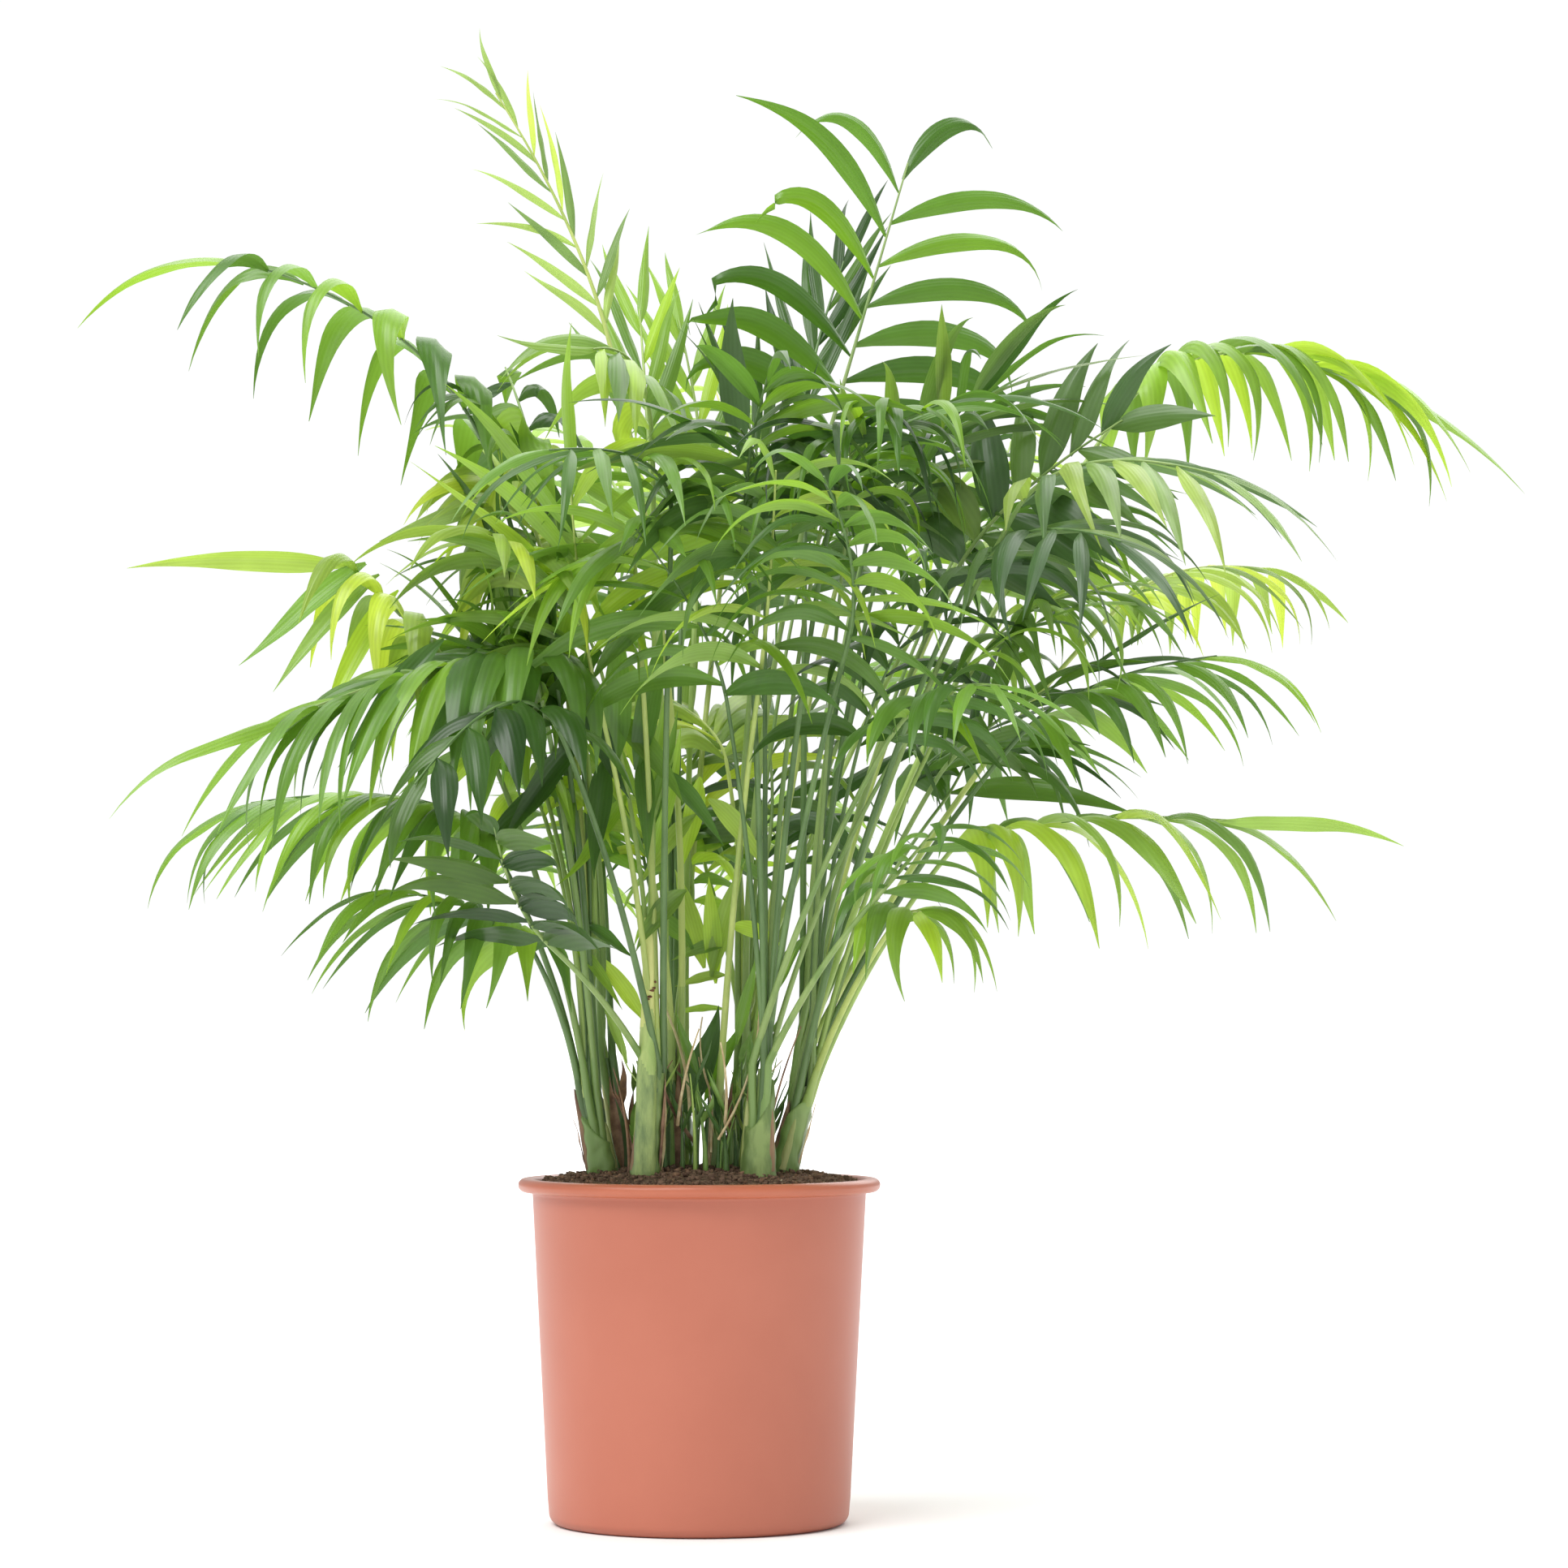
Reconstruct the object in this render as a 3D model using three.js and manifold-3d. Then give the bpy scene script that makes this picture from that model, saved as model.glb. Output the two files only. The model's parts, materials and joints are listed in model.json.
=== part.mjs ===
// A potted parlour palm: a clump of slender canes in a plastic nursery pot, each cane carrying
// long-stalked fronds whose leaflets stand in two rows along the rib.
// Millimetres, +Z up. The origin is the middle of the pot's flat underside.

import * as THREE from 'three';
import { mergeVertices } from 'three/addons/utils/BufferGeometryUtils.js';
import Module from 'manifold-3d';

const wasm = await Module();
wasm.setup();

// ---------------------------------------------------------------- driving dimensions

const gap = 0.3; // between solids that rest on each other

const potHeight = 180;
const potRimRadius = 95;
const potNeckRadius = 87.5; // outside of the wall under the rim
const potFootRadius = 78.5; // outside of the wall at the foot
const potFootRound = 6;
const potWall = 2.4;
const potFloor = 3.5;
const rimDrop = 7; // height of the rim's outer band
const rimRound = 1.6;
const potSides = 32;

const soilTop = 185; // flat crown of the mound that the canes stand on
const soilCrownRadius = 62;
const soilEdgeDrop = 8; // below the rim where the soil meets the wall

const caneSides = 10;
const caneFlare = 1.22; // widening at ground level
const flareHeight = 14;

const stalkRadius = 2.1; // leaf stalk where it leaves the cane
const kneeRadius = 1.45; // where the first leaflets stand
const ribTipRadius = 0.8;
const stalkBow = 0.08; // how far a stalk bows inwards, as a share of its length
const stalkSteps = 4;
const bladeSteps = 6;

const leafThickness = 0.0125; // share of the leaflet's length
const leafThicknessLeast = 0.85;
const leafClearance = 0.35; // kept between leaflets of different fronds
const endSpread = 0.2; // share of the spread that the last leaflet keeps
const leafSlack = 1.04; // length of a leaflet's two straight runs, as a share of its own

// The canes: foot and top as [x, y], height of the top, radius at the foot and at the top.
const canes = {
  cane_left: { foot: [-51, -5], top: [-58, -7], height: 226, radii: [8, 6.6] },
  cane_left_back: { foot: [-40, 16], top: [-50, 15], height: 245, radii: [6, 5.4] },
  cane_front: { foot: [-27, -34], top: [-23, -33], height: 238, radii: [8, 6.4] },
  cane_middle: { foot: [-14, 4], top: [-14, 7], height: 250, radii: [6, 5.6] },
  cane_short: { foot: [8, -10], top: [11, -12], height: 228, radii: [5, 4.8] },
  cane_front_right: { foot: [31, -38], top: [33, -40], height: 240, radii: [9, 6.6] },
  cane_right: { foot: [44, -10], top: [56, -12], height: 230, radii: [8, 6.8] },
  cane_back: { foot: [-10, 42], top: [-12, 48], height: 255, radii: [6.5, 6.2] },
  cane_back_right: { foot: [20, 38], top: [25, 44], height: 255, radii: [6.8, 6.6] },
  cane_far_right: { foot: [46, 24], top: [56, 31], height: 250, radii: [6, 5.8] },
};

// A pruned leaf stalk that stands on the front cane: its knee is its level cut.
const cutStalk = { cane: 'cane_front', knee: [-40, 5, 314], radii: [2.8, 2.3] };

// The habits of the fronds. arch: how far the rib runs on before it turns over; wide: leaflet
// width; spread: angle from the rib; lift: angle out of the frond's plane; hold: the share of a
// leaflet before it turns over; droop: how strongly its outer part hangs; end: the same for the
// last leaflet, which prolongs the rib.
const habits = {
  young: { arch: 0.45, wide: 6, spread: 14, lift: 0, hold: 0.42, droop: 0, end: 0, colour: 0xa9cf7a },
  tall: { arch: 0.35, wide: 18, spread: 54, lift: 0, hold: 0.58, droop: 1, end: 1.4, colour: 0x3f7a37 },
  comb: { arch: 0.5, wide: 17, spread: 50, lift: 30, hold: 0.42, droop: 3.2, end: 1, colour: 0x6fae45 },
  sprung: { arch: 0.2, wide: 18, spread: 52, lift: 22, hold: 0.42, droop: 2.8, end: 0.1, colour: 0x6fae45 },
  plume: { arch: 0.4, wide: 15, spread: 52, lift: 5, hold: 0.45, droop: 1.4, end: 1, colour: 0x4f9038 },
  level: { arch: 0.8, wide: 16, spread: 52, lift: 6, hold: 0.42, droop: 1.3, end: 0, colour: 0x9bc653 },
  fine: { arch: 0.35, wide: 13, spread: 50, lift: 10, hold: 0.42, droop: 2, end: 1.2, colour: 0x6aa648 },
  broad: { arch: 0.35, wide: 20, spread: 59, lift: 5, hold: 0.45, droop: 0.6, end: 0.6, colour: 0x3f7a37 },
  drape: { arch: 0.5, wide: 20, spread: 60, lift: 10, hold: 0.4, droop: 2.4, end: 2, colour: 0x2f5f34 },
  spike: { arch: 0.3, wide: 12, spread: 19, lift: 0, hold: 0.42, droop: 0, end: 0, colour: 0x7db53e },
};

// The fronds. knee: where the first leaflets stand, as [compass heading from the cane, distance
// out from the cane's top, height]; tip: the end of the rib, as [turn from that heading,
// distance out from the knee, height]; then the pairs of leaflets, the longest leaflet and the
// roll of the frond about its rib.
const fronds = [
  frond('young_tall', 'cane_middle', 'young', [148, 40, 620], [15, 66, 762], 9, 60, 70),
  frond('arch_top_left', 'cane_left', 'comb', [-167, 50, 548], [5, 140, 655], 7, 134, 0),
  frond('dark_top_left', 'cane_left_back', 'drape', [135, 50, 545], [-20, 55, 620], 4, 72, 40),
  frond('pale_left', 'cane_left', 'plume', [-108, 65, 475], [-10, 55, 510], 5, 88, 20),
  frond('long_left', 'cane_front', 'level', [-99, 5, 555], [-20, 60, 605], 6, 92, 30),
  frond('lime_left', 'cane_left', 'sprung', [-163, 72, 440], [-8, 60, 504], 6, 135, 0),
  frond('comb_left', 'cane_left', 'sprung', [-112, 65, 440], [-35, 138, 416], 9, 134, 0),
  frond('low_left_fine', 'cane_left', 'fine', [-166, 50, 352], [0, 128, 375], 10, 86, 0),
  frond('low_left', 'cane_left', 'fine', [-155, 30, 296], [0, 84, 330], 7, 94, -10),
  frond('dark_front', 'cane_front', 'broad', [-132, 75, 300], [25, 85, 360], 6, 66, 10),
  frond('dark_droop', 'cane_front', 'drape', [-119, 88, 402], [-5, 122, 378], 6, 76, 3),
  frond('spike_left', 'cane_middle', 'spike', [103, 65, 570], [-5, 50, 655], 4, 84, 0),
  frond('spike_back', 'cane_back', 'spike', [81, 70, 555], [25, 50, 655], 4, 84, 0),
  frond('broad_upright', 'cane_back_right', 'spike', [-60, 20, 515], [-160, 15, 590], 5, 92, 0),
  frond('front_left_high', 'cane_front', 'plume', [-83, 90, 515], [-40, 105, 540], 7, 92, 10),
  frond('front_right', 'cane_front_right', 'plume', [-69, 120, 450], [-30, 80, 525], 9, 94, 20),
  frond('front_centre', 'cane_short', 'plume', [-78, 100, 432], [-6, 82, 532], 8, 80, 0),
  frond('broad_right', 'cane_far_right', 'broad', [-39, 100, 495], [10, 96, 570], 7, 76, -80),
  frond('backlit_right', 'cane_far_right', 'comb', [12, 175, 592], [-5, 142, 608], 9, 130, 0),
  frond('grey_right', 'cane_right', 'plume', [-36, 130, 520], [0, 126, 532], 8, 104, -10),
  frond('dark_right', 'cane_right', 'plume', [-51, 125, 480], [-5, 130, 495], 7, 94, -10),
  frond('lime_far_right', 'cane_far_right', 'fine', [24, 190, 490], [15, 125, 515], 8, 72, 0),
  frond('mid_right', 'cane_right', 'plume', [-9, 110, 408], [-10, 108, 450], 8, 106, -5),
  frond('mid_right_front', 'cane_front_right', 'plume', [-52, 100, 400], [-10, 115, 425], 7, 86, 0),
  frond('low_right', 'cane_right', 'sprung', [-6, 75, 350], [-5, 150, 366], 8, 132, 0),
  frond('small_right', 'cane_right', 'comb', [-50, 65, 308], [-15, 38, 318], 4, 92, 0),
  frond('star_back', 'cane_back_right', 'fine', [64, 140, 550], [20, 40, 605], 5, 70, 0),
  frond('back_right_high', 'cane_back_right', 'plume', [52, 185, 515], [15, 100, 600], 7, 88, 0),
  frond('back_left_high', 'cane_back', 'plume', [102, 145, 535], [15, 110, 610], 7, 90, 0),
  frond('back_centre', 'cane_back', 'plume', [81, 160, 545], [15, 110, 640], 7, 93, 0),
  frond('back_left', 'cane_left_back', 'plume', [95, 155, 435], [35, 130, 460], 8, 88, 0),
  frond('back_right', 'cane_back_right', 'plume', [67, 155, 445], [-5, 125, 470], 8, 88, 0),
  frond('inner_low', 'cane_middle', 'fine', [79, 45, 320], [20, 50, 375], 5, 64, 0),
  frond('inner_broad', 'cane_middle', 'spike', [-124, 20, 340], [10, 20, 400], 4, 80, 0),
  frond('low_front_right', 'cane_front_right', 'plume', [-50, 90, 325], [-20, 85, 360], 6, 76, 0),
  frond('low_back_left', 'cane_left_back', 'plume', [102, 120, 340], [15, 110, 370], 7, 78, 0),
  frond('low_back', 'cane_back_right', 'plume', [80, 105, 345], [0, 100, 395], 7, 78, 0),
  frond('tall_right', 'cane_back_right', 'tall', [19, 45, 575], [15, 54, 731], 7, 116, -80),
  frond('tall_right_back', 'cane_far_right', 'spike', [90, 85, 590], [-20, 65, 690], 5, 94, -10),
];

// Fronds that bend round a wide space: stalk and blade are separate solids.
const splitFronds = [
  'arch_top_left', 'comb_left', 'low_left_fine', 'dark_droop',
  'backlit_right', 'grey_right', 'mid_right', 'low_right',
];

// Sideways bows that a stalk tries in turn until it passes clear of the ones before it.
const swaySteps = [0, 3, -3, 6, -6, 9, -9, 12, -12, 16, -16, 20, -20, 25, -25, 30, -30];
const kneeSway = 0.5; // how far the knee gives way with the bow, as a share of it
const stalkClearance = 0.3;
const bundleInset = 1.6; // from the cane's edge to the ring of stalk feet

// Turns that a leaflet tries in turn, as [degrees of spread, degrees of lift].
const leafTurns = [[0, 0], [7, 8], [-7, 8], [0, 16], [7, -10], [-7, -10], [0, 26], [12, 20]];

function frond(name, cane, habit, knee, tip, pairs, leaf, roll) {
  return { name, cane, ...habits[habit], knee, tip, pairs, leaf, roll };
}

// ---------------------------------------------------------------- small mathematics

const up = new THREE.Vector3(0, 0, 1);
const vec = (x, y, z) => new THREE.Vector3(x, y, z);
const radians = THREE.MathUtils.degToRad;
const compass = (angle) => vec(Math.cos(angle), Math.sin(angle), 0);
const mix = (a, b, t) => a + (b - a) * t;

// A repeatable number from 0 to 1 for each whole-number seed.
function chance(seed) {
  const wave = Math.sin(seed * 12.9898) * 43758.5453;
  return wave - Math.floor(wave);
}

// ---------------------------------------------------------------- solids

// A closed skin over rings of points; a ring of one point is a pointed end.
function loft(rings) {
  const points = rings.flat();
  const faces = [];
  let start = 0;
  for (let k = 0; k + 1 < rings.length; k++) {
    const here = rings[k].length;
    const next = rings[k + 1].length;
    const far = start + here;
    const sides = Math.max(here, next);
    for (let i = 0; i < sides; i++) {
      const j = (i + 1) % sides;
      if (here > 1) faces.push([start + i, start + j, next > 1 ? far + j : far]);
      if (next > 1) faces.push([here > 1 ? start + i : start, far + j, far + i]);
    }
    start = far;
  }
  const first = rings[0].length;
  for (let i = 1; i + 1 < first; i++) faces.push([0, i + 1, i]);
  const last = rings[rings.length - 1].length;
  for (let i = 1; i + 1 < last; i++) faces.push([start, start + i, start + i + 1]);
  return solidFrom(points.flatMap((p) => [p.x, p.y, p.z]), faces.flat());
}

function solidFrom(positions, triangles) {
  return new wasm.Manifold(new wasm.Mesh({
    numProp: 3,
    vertProperties: Float32Array.from(positions),
    triVerts: Uint32Array.from(triangles),
  }));
}

// The outer skin alone: shells sealed inside it and loose scraps are left behind.
function oneBody(solid) {
  return solid.decompose().reduce((best, other) => (other.volume() > best.volume() ? other : best));
}

function solidFromGeometry(geometry) {
  const bare = new THREE.BufferGeometry();
  bare.setAttribute('position', geometry.getAttribute('position'));
  bare.setIndex(geometry.getIndex());
  const merged = mergeVertices(bare, 1e-4);
  return solidFrom(merged.getAttribute('position').array, merged.getIndex().array);
}

function geometryFrom(solid) {
  const mesh = solid.getMesh();
  const geometry = new THREE.BufferGeometry();
  geometry.setAttribute('position', new THREE.BufferAttribute(new Float32Array(mesh.vertProperties), 3));
  geometry.setIndex(new THREE.BufferAttribute(new Uint32Array(mesh.triVerts), 1));
  geometry.computeVertexNormals();
  return geometry;
}

// A lathe turned about +Z; the profile's points are [radius, height].
function turned(profile, sides) {
  const lathe = new THREE.LatheGeometry(profile.map(([r, z]) => new THREE.Vector2(r, z)), sides);
  return lathe.rotateX(Math.PI / 2);
}

// ---------------------------------------------------------------- pot and soil

function wallRadius(z) {
  return mix(potFootRadius, potNeckRadius, z / (potHeight - rimDrop)) - potWall;
}

function potProfile() {
  const band = potHeight - rimDrop;
  const rimInside = wallRadius(potHeight) + 0.5;
  const footArc = [0, 30, 60, 90].map((angle) => {
    const a = radians(angle);
    return [
      potFootRadius - potFootRound * (1 - Math.sin(a)),
      potFootRound * (1 - Math.cos(a)),
    ];
  });
  return [
    [0, 0],
    ...footArc,
    [potNeckRadius, band],
    [potRimRadius - rimRound, band],
    [potRimRadius, band + rimRound],
    [potRimRadius, potHeight - rimRound],
    [potRimRadius - rimRound, potHeight],
    [rimInside, potHeight],
    [wallRadius(potHeight - 3), potHeight - 3],
    [wallRadius(potFloor + 4), potFloor + 4],
    [wallRadius(potFloor) - 4, potFloor],
    [0, potFloor],
  ];
}

function soilProfile() {
  const edge = potHeight - soilEdgeDrop;
  const low = potFloor + gap;
  return [
    [0, low],
    [wallRadius(potFloor) - 4 - 2 * gap, low],
    [wallRadius(potFloor + 4) - 2 * gap, potFloor + 4 + gap],
    [wallRadius(edge) - 2 * gap, edge],
    [mix(soilCrownRadius, wallRadius(edge), 0.55), mix(edge, soilTop, 0.55)],
    [soilCrownRadius, soilTop],
    [0, soilTop],
  ];
}

// ---------------------------------------------------------------- canes

// A lathe sheared sideways, so that the cane leans and its two cuts stay level.
function leaning(profile, sides, [x, y], low, [dx, dy], rise) {
  const shear = new THREE.Matrix4().set(
    1, 0, dx / rise, x,
    0, 1, dy / rise, y,
    0, 0, 1, low,
    0, 0, 0, 1,
  );
  return turned(profile, sides).applyMatrix4(shear);
}

function caneGeometry({ foot, top, height, radii }) {
  const low = soilTop + gap;
  const rise = height - low;
  const profile = [
    [0, 0],
    [radii[0] * caneFlare, 0],
    [radii[0], flareHeight],
    [mix(radii[0], radii[1], 0.6), rise * 0.55],
    [radii[1], rise],
    [0, rise],
  ];
  return leaning(profile, caneSides, foot, low, [top[0] - foot[0], top[1] - foot[1]], rise);
}

function cutStalkGeometry() {
  const { foot, knee: [heading, out, height], radii } = cutStalk;
  const rise = height - foot.z;
  const lean = compass(radians(heading)).multiplyScalar(out);
  const profile = [[0, 0], [radii[0], 0], [radii[1], rise], [0, rise]];
  return leaning(profile, 8, [foot.x, foot.y], foot.z, [lean.x, lean.y], rise);
}

// ---------------------------------------------------------------- the run of a frond

// The curves of one frond: its stalk from the foot to the knee and its blade's rib to the tip.
function runOf(f, sway) {
  const { top, height } = canes[f.cane];
  const crown = vec(top[0], top[1], height + gap);
  const [heading, out, kneeHeight] = f.knee;
  const [turn, reach, tipHeight] = f.tip;
  const ahead = compass(radians(heading));
  const across = vec(-ahead.y, ahead.x, 0);
  const knee = crown.clone().addScaledVector(ahead, out).addScaledVector(across, sway * kneeSway)
    .setZ(kneeHeight);
  const bend = f.foot.clone().add(knee).multiplyScalar(0.5)
    .addScaledVector(up, out * stalkBow)
    .addScaledVector(ahead, -(kneeHeight - crown.z) * stalkBow)
    .addScaledVector(across, sway);
  const onward = compass(radians(heading + turn));
  const tip = knee.clone().addScaledVector(onward, reach).setZ(tipHeight);
  const arch = knee.clone().addScaledVector(
    knee.clone().sub(bend).normalize(), f.arch * knee.distanceTo(tip));
  return {
    stalk: new THREE.QuadraticBezierCurve3(f.foot, bend, knee),
    blade: new THREE.QuadraticBezierCurve3(knee, arch, tip),
    side: vec(onward.y, -onward.x, 0),
  };
}

// The feet of a cane's stalks stand in a ring on its cut; the flattest stalk chooses first.
function placeFeet() {
  for (const [name, { top, height, radii }] of Object.entries(canes)) {
    const own = [...fronds, cutStalk].filter((f) => f.cane === name);
    const slope = ({ knee: [, out, kneeHeight] }) => (kneeHeight - height) / out;
    own.sort((a, b) => slope(a) - slope(b));
    const ring = own.length > 1 ? radii[1] - bundleInset : 0;
    const places = own.map((_, i) => compass(radians(own[0].knee[0]) + 2 * Math.PI * i / own.length));
    for (const f of own) {
      const ahead = compass(radians(f.knee[0]));
      places.sort((a, b) => b.dot(ahead) - a.dot(ahead));
      f.foot = vec(top[0], top[1], height + gap).addScaledVector(places.shift(), ring);
    }
  }
}

// ---------------------------------------------------------------- fronds

// The frond's own directions at a point of the blade: along the rib, to the side, and upwards.
function frameAt(f, t) {
  const along = f.run.blade.getTangent(t);
  const normal = f.run.side.clone().cross(along).normalize();
  const side = along.clone().cross(normal).normalize();
  const roll = radians(f.roll);
  return {
    along,
    side: side.clone().multiplyScalar(Math.cos(roll)).addScaledVector(normal, Math.sin(roll)),
    normal: normal.clone().multiplyScalar(Math.cos(roll)).addScaledVector(side, -Math.sin(roll)),
  };
}

function threeSided(centre, along, side, radius) {
  const normal = side.clone().cross(along).normalize();
  const level = normal.clone().cross(along);
  return [90, 210, 330].map((angle) => centre.clone()
    .addScaledVector(level, radius * Math.cos(radians(angle)))
    .addScaledVector(normal, radius * Math.sin(radians(angle))));
}

function ribRings(curve, side, steps, radii) {
  const rings = [];
  for (let k = 0; k <= steps; k++) {
    const t = k / steps;
    rings.push(threeSided(curve.getPoint(t), curve.getTangent(t), side, mix(radii[0], radii[1], t)));
  }
  return rings;
}

// A frond's rib and stalk, in one solid or, where the frond is split at its bend, in two.
function ribSolids(f, extra) {
  const { stalk: rise, blade: reach, side } = f.run;
  const [foot, knee, end] = [stalkRadius, kneeRadius, ribTipRadius].map((radius) => radius + extra);
  const stalk = ribRings(rise, side, stalkSteps, [foot, knee]);
  const blade = ribRings(reach, side, bladeSteps, [knee, end]);
  stalk[0] = threeSided(f.foot, up, side, foot);
  if (!splitFronds.includes(f.name)) return [loft([...stalk, ...blade.slice(1)])];
  const onward = reach.getTangent(0);
  blade[0] = threeSided(reach.getPoint(0).addScaledVector(onward, gap), onward, side, knee);
  return [loft(blade), loft(stalk)];
}

// A point of the faceted rib, which lies a little inside the smooth curve.
function onRib(curve, t) {
  const place = Math.min(t, 0.999) * bladeSteps;
  const step = Math.floor(place);
  return curve.getPoint(step / bladeSteps).lerp(curve.getPoint((step + 1) / bladeSteps), place - step);
}

// A leaflet: a lance-shaped blade with a keel, pointed at both ends.
function leaflet(f, number, i, turn, extra) {
  const pair = Math.floor(i / 2);
  const hand = i % 2 ? 1 : -1;
  const v = (pair + (i % 2 ? 0.65 : 0.35)) / f.pairs;
  const t = v ** 0.92;
  const seed = number * 100 + i;
  const { along, side, normal } = frameAt(f, t);
  const root = onRib(f.run.blade, t);
  const atEnd = i === f.pairs * 2 - 1;
  const length = f.leaf * (0.62 + 0.38 * Math.sin(Math.PI * (0.28 + 0.62 * v)))
    * (0.92 + 0.16 * chance(seed + 0.1));
  const width = f.wide * (0.9 + 0.2 * chance(seed + 0.6)) * (0.75 + 0.25 * length / f.leaf);
  const open = f.spread * (atEnd ? endSpread : 1.15 - 0.5 * v);
  const spread = radians(open + 10 * (chance(seed + 0.2) - 0.5) + turn[0]);
  const lift = radians(f.lift + 16 * (chance(seed + 0.3) - 0.5) + turn[1]);
  const droop = (atEnd ? f.end : f.droop * (1.2 - 0.4 * v)) * (0.7 + 0.6 * chance(seed + 0.4));
  const twist = radians(40 * (chance(seed + 0.5) - 0.5));
  const out = along.clone().multiplyScalar(Math.cos(spread))
    .addScaledVector(side, hand * Math.cos(lift) * Math.sin(spread))
    .addScaledVector(normal, Math.sin(lift) * Math.sin(spread));
  const hang = out.clone().addScaledVector(up, -droop).normalize();
  const bend = root.clone().addScaledVector(out, length * f.hold);
  const tip = bend.clone().addScaledVector(hang, length * (leafSlack - f.hold));
  const curve = new THREE.QuadraticBezierCurve3(root, bend, tip);
  const flat = along.clone().addScaledVector(out, -along.dot(out)).normalize();
  const broad = flat.multiplyScalar(Math.cos(twist) * hand)
    .addScaledVector(out.clone().cross(flat), Math.sin(twist) * hand);
  const thick = Math.max(leafThicknessLeast, leafThickness * length);
  const section = (s, share) => {
    const middle = curve.getPoint(s);
    const run = curve.getTangent(s);
    const w = broad.clone().addScaledVector(run, -broad.dot(run)).normalize();
    const n = run.clone().cross(w);
    const half = width * share / 2 + extra;
    return [
      middle.clone().addScaledVector(w, half).addScaledVector(n, thick * 0.3 + extra),
      middle.clone().addScaledVector(w, -half).addScaledVector(n, thick * 0.3 + extra),
      middle.clone().addScaledVector(n, -thick * 0.7 - extra),
    ];
  };
  return loft([[root], section(0.3, 0.96), section(0.66, 0.78), [tip]]);
}

// ---------------------------------------------------------------- room between the solids

const occupied = [];

function boxesMeet(a, b) {
  return [0, 1, 2].every((k) => a.min[k] < b.max[k] && b.min[k] < a.max[k]);
}

function occupy(solid, owner) {
  occupied.push({ solid, owner, box: solid.boundingBox() });
}

function isFree(solid, owner) {
  const box = solid.boundingBox();
  return !occupied.some((other) => {
    if (other.owner === owner || !boxesMeet(box, other.box)) return false;
    const shared = solid.intersect(other.solid);
    const empty = shared.isEmpty();
    shared.delete();
    return !empty;
  });
}

// ---------------------------------------------------------------- assembly

const group = new THREE.Group();

function addPiece(name, geometry, colour, roughness) {
  const material = new THREE.MeshStandardMaterial({ color: colour, roughness, metalness: 0 });
  const mesh = new THREE.Mesh(geometry, material);
  mesh.name = name;
  group.add(mesh);
}

function addPot() {
  addPiece('pot', turned(potProfile(), potSides), 0xcd7d66, 0.45);
  addPiece('soil', turned(soilProfile(), potSides), 0x4b382d, 0.95);
}

function addCanes() {
  for (const [name, cane] of Object.entries(canes)) {
    const geometry = caneGeometry(cane);
    occupy(solidFromGeometry(geometry), name);
    addPiece(name, geometry, 0x86a067, 0.5);
  }
  const stub = cutStalkGeometry();
  occupy(solidFromGeometry(stub), 'cut_stalk');
  addPiece('cut_stalk', stub, 0xd9d489, 0.55);
}

// All ribs stand before any leaflet, so that leaflets give way to them.
function raiseRibs() {
  for (const f of fronds) {
    const passes = (sway) => {
      f.run = runOf(f, sway);
      return ribSolids(f, stalkClearance).every((solid) => isFree(solid, f.name));
    };
    f.sway = swaySteps.find(passes) ?? 0;
    f.run = runOf(f, f.sway);
    [f.rib, f.stalk] = ribSolids(f, 0);
    occupy(f.rib, f.name);
    if (f.stalk) occupy(f.stalk, f.name);
  }
}

function growLeaflets(f, number) {
  let whole = f.rib;
  for (let i = 0; i < f.pairs * 2; i++) {
    const turn = leafTurns.find((t) => isFree(leaflet(f, number, i, t, leafClearance), f.name));
    if (!turn) continue;
    const blade = leaflet(f, number, i, turn, 0);
    occupy(blade, f.name);
    whole = whole.add(blade);
  }
  return oneBody(whole);
}

placeFeet();
addPot();
addCanes();
raiseRibs();
fronds.forEach((f, number) => {
  if (f.stalk) addPiece(`stalk_${f.name}`, geometryFrom(f.stalk), 0x86a067, 0.5);
  addPiece(`frond_${f.name}`, geometryFrom(growLeaflets(f, number)), f.colour, 0.45);
});

export default group;
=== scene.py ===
# A potted parlour palm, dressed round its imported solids: moulded pot, crumbly soil, sheathed
# canes, long leaf stalks and feather fronds with folded, veined leaflets.
# Sizes are in millimetres until a mesh is made; the scene itself is in metres, +Z up.

import json
import math

import bpy
import numpy as np
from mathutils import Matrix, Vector, noise


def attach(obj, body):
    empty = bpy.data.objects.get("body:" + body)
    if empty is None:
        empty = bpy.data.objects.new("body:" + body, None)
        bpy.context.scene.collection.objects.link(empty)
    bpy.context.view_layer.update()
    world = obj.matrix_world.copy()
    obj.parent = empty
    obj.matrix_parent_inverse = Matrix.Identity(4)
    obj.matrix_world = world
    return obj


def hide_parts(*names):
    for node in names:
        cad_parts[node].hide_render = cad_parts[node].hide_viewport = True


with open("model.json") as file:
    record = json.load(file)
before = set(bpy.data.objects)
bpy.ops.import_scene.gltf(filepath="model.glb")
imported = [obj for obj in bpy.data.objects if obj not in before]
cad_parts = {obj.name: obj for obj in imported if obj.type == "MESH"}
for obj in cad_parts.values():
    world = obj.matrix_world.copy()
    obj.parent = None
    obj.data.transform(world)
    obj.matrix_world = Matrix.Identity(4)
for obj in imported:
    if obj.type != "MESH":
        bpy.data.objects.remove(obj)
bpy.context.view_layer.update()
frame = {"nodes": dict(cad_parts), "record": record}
mm = 0.001
clearance = 0.3  # between a solid and what carries it
upward = np.array([0.0, 0.0, 1.0])


def unit(v):
    return v / (np.linalg.norm(v, axis=-1, keepdims=True) + 1e-12)


def mix(a, b, t):
    return a + (b - a) * t


def compass(angle):
    return np.array([math.cos(math.radians(angle)), math.sin(math.radians(angle)), 0.0])


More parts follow.
